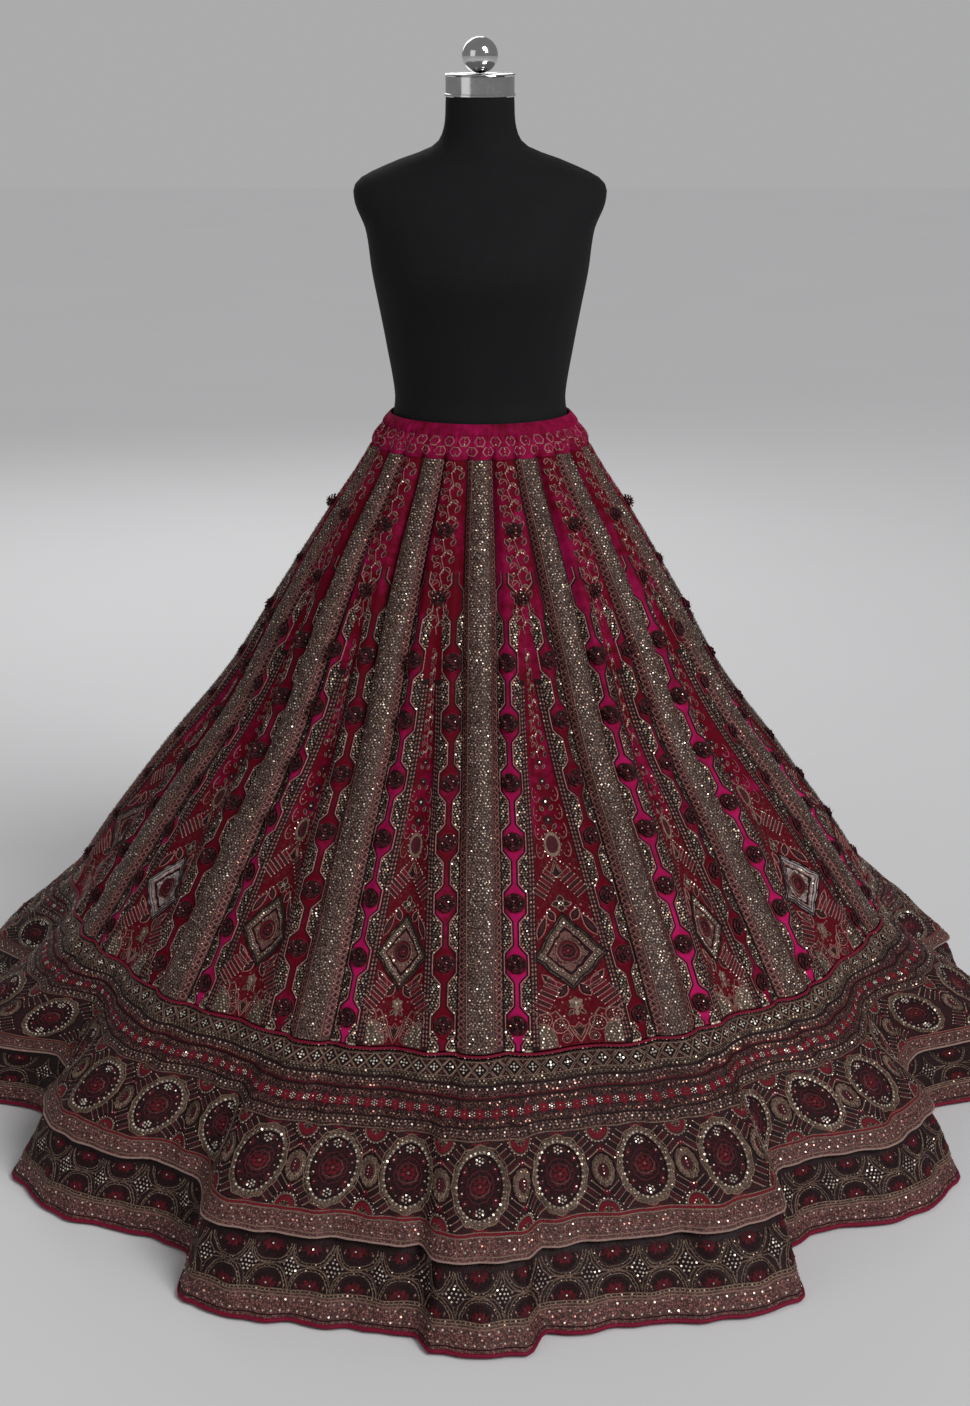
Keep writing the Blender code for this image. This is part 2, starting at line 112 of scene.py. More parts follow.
# seam_lean, hem_lean, reach, half, flank, hollow, swell: one row for each fold
FOLD_NAMES = "seam_lean hem_lean reach half flank hollow swell"
FOLD_ROWS = (
    (0.0, 0.0, 0.854, 0.160, 0.08, 0.812, 0.000),
    (0.5, -1.2, 0.834, 0.140, 0.20, 0.722, 0.000),
    (-5.0, 0.0, 0.780, 0.130, 0.34, 0.680, 0.000),
    (-3.0, 7.0, 0.814, 0.150, 0.30, 0.704, 0.008),
    (-1.0, 6.0, 0.806, 0.140, 0.34, 0.700, 0.005),
    (1.0, 2.0, 0.822, 0.160, 0.30, 0.708, 0.000),
    (0.0, -2.0, 0.814, 0.130, 0.36, 0.696, 0.000),
    (1.5, 1.0, 0.832, 0.165, 0.30, 0.700, 0.000),
    (0.0, 3.0, 0.812, 0.150, 0.32, 0.706, 0.000),
    (-1.0, -1.0, 0.826, 0.130, 0.34, 0.702, 0.008),
    (4.0, -4.0, 0.834, 0.150, 0.30, 0.700, 0.036),
    (6.0, -6.0, 0.812, 0.150, 0.30, 0.664, 0.010),
    (6.0, 1.0, 0.764, 0.130, 0.34, 0.722, 0.000),
    (3.5, 3.0, 0.824, 0.130, 0.20, 0.812, 0.000),
)
FORM_NAMES = "height half_width half_depth forward square"
FORM_ROWS = (
    (1.3940, 0.0460, 0.0460, 0.000, 2.0),
    (1.3500, 0.0500, 0.0490, 0.000, 2.0),
    (1.3280, 0.0660, 0.0580, -0.004, 2.0),
    (1.3080, 0.1180, 0.0670, -0.008, 2.1),
    (1.2840, 0.1660, 0.0790, -0.006, 2.3),
    (1.2580, 0.1710, 0.0940, -0.002, 2.4),
    (1.2200, 0.1560, 0.1120, 0.005, 2.3),
    (1.1650, 0.1480, 0.1240, 0.010, 2.2),
    (1.1100, 0.1380, 0.1140, 0.006, 2.1),
    (1.0650, 0.1300, 0.1060, 0.002, 2.1),
    (0.9950, 0.1190, 0.0970, 0.000, 2.0),
    (0.9690, 0.1210, 0.0990, 0.001, 2.0),
    (0.9300, 0.1270, 0.1040, 0.002, 2.0),
    (0.8750, 0.1440, 0.1150, 0.002, 2.1),
    (0.7850, 0.1570, 0.1240, 0.000, 2.2),
    (0.7120, 0.1420, 0.1120, 0.000, 2.2),
    (0.7000, 0.1320, 0.1040, 0.000, 2.2),
)
BAND_CLEARANCE = 0.0005
BAND_FLARE = 0.006
NECK_CAP_RADIUS = 0.0475
NECK_CAP_HEIGHT = 0.0300
FINIAL_RADIUS = 0.0240
FINIAL_SEAT = math.radians(14.0)
POLE_RADIUS = 0.0160
BASE_RADIUS = 0.1800
BASE_HEIGHT = 0.0220

# Soft unevenness of the cloth: waves round the skirt, waves down it, depth, start
PANEL_CREASES = ((31, 2.1, 0.0011, 0.3), (53, -3.4, 0.0008, 1.9), (88, 5.2, 0.0005, 4.1))
BORDER_CREASES = ((43, 3.0, 0.0030, 0.8), (71, -6.0, 0.0020, 2.7), (113, 9.0, 0.0010, 5.0))


def fade(x):
    """1 at 0 and below, 0 at 1 and above, level at both ends."""
    x = np.clip(x, 0.0, 1.0)
    return 1.0 - x * x * (3.0 - 2.0 * x)


def hermite(y0, y1, slope0, slope1, span, t):
    return (
        y0 * (1.0 + 2.0 * t) * (1.0 - t) ** 2
        + y1 * t * t * (3.0 - 2.0 * t)
        + span * t * (1.0 - t) * (slope0 * (1.0 - t) - slope1 * t)
    )


class Table:
    """Rows that run down by height, read smoothly between them."""

    def __init__(self, names, rows):
        self.columns = dict(zip(names.split(), np.array(rows, float).T))

    def read(self, name, height):
        heights, values = self.columns["height"], self.columns[name]
        last = len(heights) - 1
        k = np.clip(np.searchsorted(-heights, -np.asarray(height), side="right") - 1, 0, last - 1)
        low = np.maximum(np.arange(last + 1) - 1, 0)
        high = np.minimum(np.arange(last + 1) + 1, last)
        slopes = (values[high] - values[low]) / (heights[high] - heights[low])
        span = heights[k + 1] - heights[k]
        t = np.clip((height - heights[k]) / span, 0.0, 1.0)
        return hermite(values[k], values[k + 1], slopes[k], slopes[k + 1], span, t)


SECTIONS = Table(SECTION_NAMES, SECTION_ROWS)
BORDER = Table("height spread", BORDER_ROWS)
FORM = Table(FORM_NAMES, FORM_ROWS)
FOLDS = dict(zip(FOLD_NAMES.split(), np.array(FOLD_ROWS).T))


def read_folds(name, u):
    """A column of the fold table at u folds round from the front."""
    k = np.floor(u).astype(int)
    v = [FOLDS[name][(k + j) % FOLD_COUNT] for j in (-1, 0, 1, 2)]
    return hermite(v[1], v[2], (v[2] - v[0]) / 2.0, (v[3] - v[1]) / 2.0, 1.0, u - k)


def across_fold(u, height):
    """How far the cloth stands out from the mean radius, across stripe and gore."""
    groove, roll = SECTIONS.read("groove", height), SECTIONS.read("roll", height)
    chain, centre = SECTIONS.read("chain", height), SECTIONS.read("centre", height)
    half = SECTIONS.read("share", height) / 2.0
    d = np.abs((u + 0.5) % 1.0 - 0.5)
    tube = groove + (roll - groove) * np.clip(1.0 - (d / half) ** 2, 0.0, 1.0) ** 0.7
    t = (d - half) / (0.5 - half)
    side = chain + (groove - chain) * fade(t / 0.4)
    middle = centre + (chain - centre) * fade((t - 0.4) / 0.6)
    return np.where(d <= half, tube, np.where(t < 0.4, side, middle))


def hem_radius(u):
    k = np.floor(u).astype(int) % FOLD_COUNT
    t = u - np.floor(u)
    after = (k + 1) % FOLD_COUNT
    reach, half, flank, hollow = (FOLDS[n] for n in ("reach", "half", "flank", "hollow"))
    leaving = (reach[k] - hollow[k]) * fade((t - half[k]) / flank[k])
    arriving = (reach[after] - hollow[k]) * fade((1.0 - t - half[after]) / flank[after])
    return hollow[k] + np.maximum(leaving, arriving)


def creases(u, height, waves):
    """Small soft dents and pulls of hand-hung cloth."""
    total = 0.0
    for around, down, depth, start in waves:
        total = total + depth * np.sin(2.0 * math.pi * (around * u / FOLD_COUNT + down * height) + start)
    return total


def cloth_point(u, height):
    """Outer face of the cloth, u folds round and at a height."""
    u, height = np.broadcast_arrays(np.asarray(u, float), np.asarray(height, float))
    spread = BORDER.read("spread", height)
    settle = 1.0 - fade((BAND_FOOT - height) / (BAND_FOOT - PANEL_FOOT))
    lean = read_folds("seam_lean", u) * settle
    lean = lean + (read_folds("hem_lean", u) - read_folds("seam_lean", u)) * spread
    angle = u * FOLD_ANGLE + np.radians(lean)
    radius = SECTIONS.read("radius", height) + across_fold(u, height)
    radius = radius + read_folds("swell", u) * settle
    radius = np.where(height < PANEL_FOOT, radius + (hem_radius(u) - radius) * spread, radius)
    radius = radius + creases(u, height, PANEL_CREASES) * (1.0 - spread) * settle
    radius = radius + creases(u, height, BORDER_CREASES) * fade(1.0 - 2.0 * spread)
    x = radius * np.sin(angle)
    y = -radius * np.cos(angle) * SECTIONS.read("flatten", height)
    return np.stack((x, y, height), -1)


def unit(vectors):
    return vectors / np.maximum(np.linalg.norm(vectors, axis=-1, keepdims=True), 1e-12)


def lengths_along(points, axis):
    """Distance travelled from the first point, along rows or columns."""
    steps = np.linalg.norm(np.diff(points, axis=axis), axis=-1)
    travelled = np.cumsum(steps, axis=axis)
    start = np.zeros_like(np.take(travelled, [0], axis=axis))
    return np.concatenate((start, travelled), axis=axis)


def grid_normals(points, ring):
    down = np.gradient(points, axis=0)
    if ring:
        along = np.roll(points, -1, axis=1) - np.roll(points, 1, axis=1)
    else:
        along = np.gradient(points, axis=1)
    return unit(np.cross(down, along))


class Cloth:
    """One face of cloth as a grid, read anywhere in metres down and across."""

    def __init__(self, points, fall_length, ring):
        self.points, self.normals = points, grid_normals(points, ring)
        self.fall_length, self.ring = fall_length, ring
        self.rows, self.columns = len(points) - 1, points.shape[1] - (not ring)

    def row_of(self, fall):
        return np.clip(fall / self.fall_length, 0.0, 1.0) * self.rows

    def blend(self, grid, row, column):
        r = np.minimum(np.floor(row).astype(int), self.rows - 1)
        c = np.floor(column).astype(int)
        if not self.ring:
            c = np.clip(c, 0, self.columns - 1)
        fr, fc = (row - r)[..., None], (column - c)[..., None]
        c, d = (c % self.columns, (c + 1) % self.columns) if self.ring else (c, c + 1)
        upper = grid[r, c] * (1.0 - fc) + grid[r, d] * fc
        lower = grid[r + 1, c] * (1.0 - fc) + grid[r + 1, d] * fc
        return upper * (1.0 - fr) + lower * fr

    def lifted(self, row, column, lift):
        """Points that stand off the cloth, and its normals there."""
        normal = unit(self.blend(self.normals, row, column))
        return self.blend(self.points, row, column) + normal * np.asarray(lift)[..., None], normal


class Panel(Cloth):
    """A stripe or gore; across is metres from its middle line."""

    ROW = 0.018
    FINE_ROWS = 240
    FINE_COLUMNS = 80

    def __init__(self, left, right, columns):
        top, foot = BAND_FOOT - SEAM_GAP / 2.0, PANEL_FOOT + SEAM_GAP / 2.0
        heights = np.linspace(top, foot, self.FINE_ROWS + 1)
        fall = lengths_along(cloth_point((left(heights) + right(heights)) / 2.0, heights), 0)
        even_falls = np.linspace(0.0, fall[-1], round(fall[-1] / self.ROW) + 1)
        heights = np.interp(even_falls, fall, heights)[:, None]
        u = left(heights) + (right(heights) - left(heights)) * np.linspace(0.0, 1.0, self.FINE_COLUMNS + 1)
        run = lengths_along(cloth_point(u, heights), 1)
        run = run - run[:, [self.FINE_COLUMNS // 2]]
        t = np.linspace(-1.0, 1.0, columns + 1)
        targets = np.where(t < 0.0, -t * run[:, :1], t * run[:, -1:])
        even = np.array([np.interp(a, b, c) for a, b, c in zip(targets, run, u)])
        super().__init__(cloth_point(even, heights), fall[-1], ring=False)
        self.halves = np.stack((-run[:, 0], run[:, -1]), 1)

    def half(self, fall, side=1.0):
        row = self.row_of(fall)
        left, right = (np.interp(row, np.arange(self.rows + 1), self.halves[:, j]) for j in (0, 1))
        return np.where(np.asarray(side) < 0.0, left, right)

    def at(self, line, across, fall, lift):
        x = line(fall) + across
        t = np.clip(x / self.half(fall, x), -1.0, 1.0)
        return self.lifted(self.row_of(fall), (t + 1.0) / 2.0 * self.columns, lift)


class Ring(Cloth):
    """A tier round the whole skirt; across is metres from a place given in folds."""

    HALF_FOLD_COLUMNS = 18
    FINE = 40
    ROW = 0.010

    def __init__(self, top, foot, set_in=None):
        fine_heights = np.linspace(top, foot, 120)
        crests = cloth_point(np.arange(FOLD_COUNT)[None, :], fine_heights[:, None])
        fall = lengths_along(crests, 0).mean(1)
        self.falls = np.linspace(0.0, fall[-1], round(fall[-1] / self.ROW) + 1)
        self.heights = np.interp(self.falls, fall, fine_heights)
        fine_u = np.linspace(0.0, FOLD_COUNT, FOLD_COUNT * 2 * self.FINE + 1)
        run = lengths_along(cloth_point(fine_u[None, :], self.heights[:, None]), 1)
        marks = run[:, :: self.FINE]
        self.half_lengths = np.diff(marks, axis=1)
        self.per_fold = 2 * self.HALF_FOLD_COLUMNS
        spread = np.arange(self.HALF_FOLD_COLUMNS) / self.HALF_FOLD_COLUMNS
        targets = (marks[:, :-1, None] + self.half_lengths[..., None] * spread).reshape(len(run), -1)
        even = np.array([np.interp(a, b, fine_u) for a, b in zip(targets, run)])
        points = cloth_point(even, self.heights[:, None])
        if set_in:
            out = grid_normals(points, ring=True)
            level = np.linalg.norm(out[..., :2], axis=-1, keepdims=True)
            flat = np.concatenate((out[..., :2] / level, np.zeros_like(level)), -1)
            points = points - flat * set_in(self.heights[:, None, None], level)
        super().__init__(points, fall[-1], ring=True)

    def fall_at(self, height):
        return float(np.interp(-height, -self.heights, self.falls))

    def fold_length(self, place, fall):
        """Metres round the skirt for one fold, near a place."""
        half = np.floor(np.asarray(place) * 2.0 + 1e-6).astype(int)
        row = np.round(self.row_of(fall)).astype(int)
        count = 2 * FOLD_COUNT
        here, before = self.half_lengths[row, half % count], self.half_lengths[row, (half - 1) % count]
        nearness = np.clip(1.0 - (np.asarray(place) * 2.0 - half) * 2.0, 0.0, 1.0)
        return here * (2.0 - nearness) + before * nearness

    def at(self, place, across, fall, lift):
        column = (place + across / self.fold_length(place, fall)) * self.per_fold
        return self.lifted(self.row_of(fall), column, lift)


def lower_set_in(height, level):
    """How far the lower tier lies inside the upper one, measured level."""
    behind = settings().cloth_thickness / level + SEAM_GAP
    above = behind + TIER_STANDS_OFF * (LOWER_TIER_TOP - height) / (LOWER_TIER_TOP - TIER_EDGE)
    below = (behind + TIER_STANDS_OFF) * height / TIER_EDGE
    return np.where(height >= TIER_EDGE, above, below)


def half_share(height):
    """Half of a stripe's width, in folds."""
    return SECTIONS.read("share", height) / 2.0


@functools.cache
def stripe_cloth(fold):
    return Panel(lambda h: fold - half_share(h), lambda h: fold + half_share(h), 14)


@functools.cache
def gore_cloth(fold):
    return Panel(lambda h: fold + half_share(h), lambda h: fold + 1.0 - half_share(h), 24)


@functools.cache
def border_cloth():
    return Ring(PANEL_FOOT, TIER_EDGE)


@functools.cache
def lower_cloth():
    return Ring(LOWER_TIER_TOP, HEM_HEIGHT, lower_set_in)


# Node groups and materials

GREY = (0.5, 0.5, 0.5, 1.0)


def settings():
    return bpy.context.scene.lehenga


def darker(colour, share):
    return tuple(c * share for c in colour)


def tint(value):
    """A colour of the add-on by its name, or by its name and a share of it, or three numbers as they are."""
    if isinstance(value, str):
        value = (value, 1.0)
    if isinstance(value[0], str):
        return darker(getattr(bpy.context.scene.lehenga_colours, value[0]), value[1])
    return value


class Nodes:
    """Short ways to add the nodes of one tree; a value (node, output) is a link."""

    def __init__(self, tree):
        self.tree = tree

    def fill(self, socket, value):
        if isinstance(value, tuple) and isinstance(value[0], bpy.types.Node):
            self.tree.links.new(value[0].outputs[value[1]], socket)
        elif socket.type == "RGBA":
            socket.default_value = (*value[:3], 1.0)
        else:
            socket.default_value = value

    def add(self, kind, *first, **values):
        """A node; lower-case names are its settings, the rest its sockets, first of all those by number."""
        node = self.tree.nodes.new("ShaderNode" + kind)
        for key, value in values.items():
            if key.islower():
                setattr(node, key, value)
        named = [(key.replace("_", " "), value) for key, value in values.items() if not key.islower()]
        for key, value in (*enumerate(first), *named):
            self.fill(node.inputs[key], value)
        return node

    def math(self, operation, *values, clamp=False):
        return self.add("Math", *values, operation=operation, use_clamp=clamp), 0

    def remap(self, value, *limits):
        """A value taken from its low and high limit to two others."""
        return self.add("MapRange", value, *limits), 0

    def mix(self, share, low, high):
        node = self.add("Mix", share, data_type="RGBA")
        self.fill(node.inputs[6], low)
        self.fill(node.inputs[7], high)
        return node, 2

    def noise(self, place, scale, detail, roughness=0.5):
        return self.add("TexNoise", Vector=place, Scale=scale, Detail=detail, Roughness=roughness), "Fac"

    def chance(self, cells):
        """A number between 0 and 1 for each cell."""
        return self.add("SeparateColor", Color=(cells, "Color")), 0

    def place(self):
        return self.add("TexCoord"), "Object"

    def uv(self):
        return self.add("UVMap", uv_map=UV_NAME), "UV"

    def axis(self, name):
        """Metres across the cloth in X, down it in Y."""
        return self.add("SeparateXYZ", Vector=self.uv()), name

    def shade(self):
        return self.add("Attribute", attribute_name="shade"), "Fac"

    def surface(self, height=None, distance=0.0, strength=1.0, **values):
        """The Principled shader's own sockets, and a bump from a height."""
        shader = self.tree.nodes["Principled BSDF"]
        for key, value in values.items():
            self.fill(shader.inputs[key.replace("_", " ")], value)
        if height:
            bump = self.add("Bump", Height=height, Distance=distance, Strength=strength)
            self.fill(shader.inputs["Normal"], (bump, "Normal"))


def shared_group(name, inputs, outputs, fill):
    """A node group that is built once; fill adds its nodes and gives a value for each output."""
    if name not in bpy.data.node_groups:
        tree = bpy.data.node_groups.new(name, "ShaderNodeTree")
        for label, default in inputs.items():
            kind = "NodeSocketFloat" if isinstance(default, float) else "NodeSocketColor"
            tree.interface.new_socket(name=label, in_out="INPUT", socket_type=kind).default_value = default
        for label in outputs:
            kind = "NodeSocketColor" if label == "Colour" else "NodeSocketFloat"
            tree.interface.new_socket(name=label, in_out="OUTPUT", socket_type=kind)
        nodes, start, end = Nodes(tree), tree.nodes.new("NodeGroupInput"), tree.nodes.new("NodeGroupOutput")
        for label, value in zip(outputs, fill(nodes, start)):
            nodes.fill(end.inputs[label], value)
    return bpy.data.node_groups[name]


def nap_and_painted_sheen_group():
    """Pile cloth: in random patches, and by its third input, it turns from its deep colour to its lit colour;
    the lit colour is painted sheen, and the patches are partly the pile's own uneven tone.
    """

    def fill(nodes, start):
        place = nodes.place()
        patches = nodes.math("MULTIPLY_ADD", nodes.noise(place, 9.0, 4.0, 0.6), 1.5, -0.75)
        flecks = nodes.math("MULTIPLY_ADD", nodes.noise(place, 70.0, 3.0, 0.6), 1.1, -0.55)
        # How much painted sheen shows: random patches and flecks, plus the painted light given from outside
        sheen_share = nodes.math("ADD", nodes.math("ADD", patches, flecks), (start, "Brush"), clamp=True)
        return nodes.mix(sheen_share, (start, "Deep"), (start, "Lit")), nodes.noise(place, 900.0, 2.0)

    return shared_group("Velvet nap", {"Deep": GREY, "Lit": GREY, "Brush": 0.5}, ("Colour", "Height"), fill)


def stitch_group():
    """Close mesh stitching with tiny sequins on cloth, by metres across and down."""

    def fill(nodes, start):
        uv = nodes.uv()
        loops = nodes.add("TexVoronoi", Vector=uv, Scale=(start, "Scale"), Randomness=0.8)
        coarse = nodes.math("MULTIPLY", (start, "Scale"), 0.55)
        cells = nodes.add("TexVoronoi", Vector=uv, Scale=coarse, Randomness=0.7)
        knot = nodes.remap((loops, "Distance"), 0.20, 0.62, 1.0, 0.0)
        varied = nodes.math("MULTIPLY_ADD", nodes.chance(loops), 0.7, 0.25)
        patch = nodes.remap(nodes.noise(uv, 38.0, 4.0, 0.7), 0.30, 0.62, 0.55, 1.0)
        thread = nodes.math("MULTIPLY", nodes.math("MULTIPLY", knot, varied), patch)
        chosen = nodes.math("LESS_THAN", nodes.chance(cells), (start, "Cover"))
        spot = nodes.math("MULTIPLY", chosen, nodes.remap((cells, "Distance"), 0.18, 0.30, 1.0, 0.0))
        base = nodes.mix(thread, (start, "Ground"), (start, "Stitch"))
        height = nodes.math("MULTIPLY_ADD", thread, 0.8, spot)
        return nodes.mix(spot, base, (start, "Fleck")), height, spot

    inputs = {"Ground": GREY, "Stitch": GREY, "Fleck": GREY, "Scale": 420.0, "Cover": 0.5}
    return shared_group("Stitched ground", inputs, ("Colour", "Height", "Shine"), fill)


def thread_group():
    """Laid thread: fine twist, and the shade that each stitched shape was given."""

    def fill(nodes, start):
        place = nodes.place()
        knots = nodes.add("TexVoronoi", Vector=place, Scale=(start, "Scale"), Randomness=0.9)
        twist = nodes.remap((knots, "Distance"), 0.15, 0.75, 1.0, 0.0)
        wear = nodes.noise(place, 45.0, 4.0)
        fine = nodes.math("MULTIPLY_ADD", twist, 0.55, -0.33)
        knot = nodes.math("MULTIPLY_ADD", nodes.chance(knots), 0.5, fine)
        tone = nodes.math("ADD", nodes.math("MULTIPLY_ADD", wear, 0.5, -0.42), knot)
        share = nodes.math("ADD", tone, (start, "Shade"), clamp=True)
        return nodes.mix(share, (start, "Dark"), (start, "Light")), twist, wear

    inputs = {"Dark": GREY, "Light": GREY, "Shade": 0.5, "Scale": 600.0}
    return shared_group("Laid thread", inputs, ("Colour", "Height", "Wear"), fill)


def new_material(name):
    """A material and its nodes; the frame's own materials keep their names."""
    material = bpy.data.materials.new(f"{name}_finish")
    material.use_nodes = True
    return material, Nodes(material.node_tree)


def velvet(name, deep, lit, painted_light_range=None, worked=None):
    """Velvet with a soft sheen and a painted one: its lit colour is painted light, spread in patches and,
    when a range is given, over one side of the cloth; shade is painted towards the seams, and worked colours
    its stitched part.
    """
    material, nodes = new_material(name)
    deep, shade = tint(deep), nodes.shade()
    # Painted light: where a range is given, the lit colour is painted over the gore's left side and fades out
    # towards its middle
    lit_share = nodes.remap(nodes.axis("X"), *painted_light_range) if painted_light_range else 0.35
    nap_and_sheen = nodes.add("Group", node_tree=nap_and_painted_sheen_group(), Deep=deep, Lit=tint(lit), Brush=lit_share)
    # Painted shade: the velvet turns nearly black towards the seams, where the grooves between panels lie in
    # shadow
    seam = nodes.remap(shade, 0.86, 1.0, 0.0, 0.85)
    colour, height = nodes.mix(seam, (nap_and_sheen, "Colour"), darker(deep, 0.1)), (nap_and_sheen, "Height")
    if worked:
        thread = nodes.add(
            "Group", node_tree=stitch_group(), Ground=darker(deep, 0.9), Stitch=tint(worked[0]),
            Fleck=tint(worked[1]), Scale=300.0, Cover=0.45,
        )
        zone = nodes.remap(shade, -0.7, -0.2, 1.0, 0.0)
        colour = nodes.mix(zone, colour, (thread, "Colour"))
        height = nodes.math("MULTIPLY_ADD", (thread, "Height"), zone, height)
    nodes.surface(
        height, 0.0006, 0.5, Base_Color=colour, Roughness=0.72, Specular_IOR_Level=0.06,
        Sheen_Weight=0.16, Sheen_Roughness=0.35, Sheen_Tint=(0.75, 0.02, 0.12),
    )
    return material


def stitched(name, ground, stitch, fleck, cover, side=None, banded=False):
    """Cloth covered with close stitching; side colours a stripe's outer columns, banded a tier's rows."""
    material, nodes = new_material(name)
    stitch = tint(stitch)
    if side:
        stitch = nodes.mix(nodes.math("GREATER_THAN", nodes.shade(), SIDE_COLUMN), stitch, tint(side))
    if banded:
        length, stops = border_bands()
        ramp = nodes.add("ValToRGB", Fac=nodes.math("DIVIDE", nodes.axis("Y"), length))
        ramp.color_ramp.interpolation = "CONSTANT"
        for k, (fall, colour) in enumerate(stops):
            stop = ramp.color_ramp.elements[k] if k < 2 else ramp.color_ramp.elements.new(fall / length)
            stop.position = fall / length
            stop.color = (*colour, 1.0)
        stitch = (ramp, "Color")
    work = nodes.add(
        "Group", node_tree=stitch_group(), Ground=tint(ground), Stitch=stitch, Fleck=tint(fleck),
        Scale=430.0, Cover=cover,
    )
    shine = (work, "Shine")
    nodes.surface(
        (work, "Height"), 0.0011, 0.8, Base_Color=(work, "Colour"), Metallic=shine,
        Roughness=nodes.remap(shine, 0.0, 1.0, 0.60, 0.28), Specular_IOR_Level=0.22,
    )
    return material


def laid(name, dark, light, roughness, metallic, scale, relief):
    """Thread, cord, sequin or bead; each shape's own shade picks its colour."""
    material, nodes = new_material(name)
    colours = {"Dark": tint(dark), "Light": tint(light)}
    thread = nodes.add("Group", node_tree=thread_group(), Shade=nodes.shade(), Scale=scale, **colours)
    worn = nodes.remap((thread, "Wear"), 0.3, 0.7, roughness - 0.06, roughness + 0.08)
    nodes.surface(
        (thread, "Height"), relief, 0.6, Base_Color=(thread, "Colour"), Roughness=worn, Metallic=metallic,
        Specular_IOR_Level=0.20,
    )
    return material


def jersey(name):
    """Fine knit of the form's cover, a little uneven in tone."""
    material, nodes = new_material(name)
    ribs = nodes.add("TexWave", Vector=nodes.uv(), Scale=180.0, Distortion=0.6), "Fac"
    rows = nodes.add("TexWave", Vector=nodes.uv(), Scale=240.0, Distortion=0.8, bands_direction="Y"), "Fac"
    knit = nodes.math("MULTIPLY", ribs, rows)
    dust = nodes.add("TexNoise", Scale=14.0, Detail=5.0), "Fac"
    colour = nodes.mix(nodes.math("MULTIPLY", knit, dust), tint("jersey"), tint(("jersey", 2.2)))
    nodes.surface(knit, 0.0004, 0.6, Base_Color=colour, Roughness=0.80, Specular_IOR_Level=0.16)
    return material


def polished(name, colour, roughness):
    """Plated metal with faint wiping marks."""
    material, nodes = new_material(name)
    wipes = nodes.noise(nodes.place(), 30.0, 6.0, 0.7)
    nodes.surface(
        wipes, 0.0001, 0.2, Base_Color=nodes.mix(wipes, darker(colour, 0.82), colour), Metallic=1.0,
        Roughness=nodes.remap(wipes, 0.35, 0.7, roughness, roughness + 0.14),
    )
    return material


def border_bands():
    """Stitch colours down the upper tier, as (fall, colour) from the seam."""
    pink = ("ribbon", 1.5)
    rows = (
        (0.2620, "taupe"), (0.2553, "wine"), (0.2418, "taupe"), (0.2360, "wine"), (0.2345, pink),
        (0.2262, "crimson"), (0.2235, "ribbon"), (0.2160, "crimson"), (0.2090, "ribbon"), (0.2005, pink),
        (0.1908, "crimson"), (0.1600, "wine"), (0.1530, "crimson"),
    )
    ring = border_cloth()
    return ring.fall_length, [(ring.fall_at(height), tint(colour)) for height, colour in rows]


# Each finish with what makes it: for laid ones dark, light, roughness, metallic, twists a metre and relief
FINISHES = {
    # Gore velvet: its range paints light over the left side of each gore; the stitch colours are its own
    "gore_velvet": (
        velvet, "crimson", "magenta", (-0.052, -0.012, 0.80, 0.02), (("ribbon", 0.35), ("ribbon", 1.5)),
    ),
    "waistband_velvet": (velvet, "crimson", "magenta"),
    "stripe_ground": (
        stitched, ("ribbon", 0.14), (0.33, 0.200, 0.165), ("taupe", 2.2), 0.04, ("ribbon", 1.15),
    ),
    "border_ground": (stitched, ("wine", 0.22), "wine", ("taupe", 1.2), 0.08, None, True),
    "lattice_ground": (stitched, ("wine", 0.22), ("wine", 0.8), "taupe", 0.05),
    "ribbon_ground": (stitched, ("ribbon", 0.25), ("ribbon", 2.1), ("taupe", 2.6), 0.15),
    "red_piping": (laid, ("piping", 0.5), "piping", 0.6, 0.0, 420.0, 0.0004),
    "light_piping": (laid, ("light_piping", 0.6), "light_piping", 0.5, 0.0, 420.0, 0.0004),
    # Pale sequins: partly real pale sequins, partly painted glints: near-white and less metallic than the
    # gold ones, so they look bright whatever the light
    "pale_sequin": (laid, (0.35, 0.29, 0.23), (0.86, 0.78, 0.65), 0.30, 0.45, 90.0, 0.0001),
    "gold_sequin": (laid, (0.12, 0.080, 0.058), (0.42, 0.31, 0.22), 0.35, 0.70, 90.0, 0.0001),
    "rose_sequin": (laid, ("ribbon", 0.5), (0.50, 0.24, 0.19), 0.34, 0.9, 90.0, 0.0001),
    "taupe_cord": (laid, ("taupe", 0.35), ("taupe", 1.75), 0.46, 0.30, 620.0, 0.0006),
    "pink_cord": (laid, ("ribbon", 0.6), ("ribbon", 2.3), 0.50, 0.10, 620.0, 0.0006),
    "dark_cord": (laid, ("wine", 0.12), ("wine", 0.6), 0.70, 0.0, 620.0, 0.0006),
    "red_thread": (laid, ("crimson", 0.35), "rose", 0.65, 0.0, 700.0, 0.0006),
    "wine_thread": (laid, ("wine", 0.15), ("wine", 2.2), 0.75, 0.0, 700.0, 0.0006),
    "silver_patch": (laid, (0.26, 0.19, 0.18), (0.70, 0.60, 0.59), 0.34, 0.50, 150.0, 0.0006),
    "black_jersey": (jersey,),
    "polished_chrome": (polished, (0.72, 0.72, 0.72), 0.06),
    "stand_steel": (polished, (0.13, 0.13, 0.14), 0.32),
}
FINISH_NAMES = tuple(FINISHES)


def finish(name):
    make, *values = FINISHES[name]
    return bpy.data.materials.get(f"{name}_finish") or make(name, *values)


# Meshes


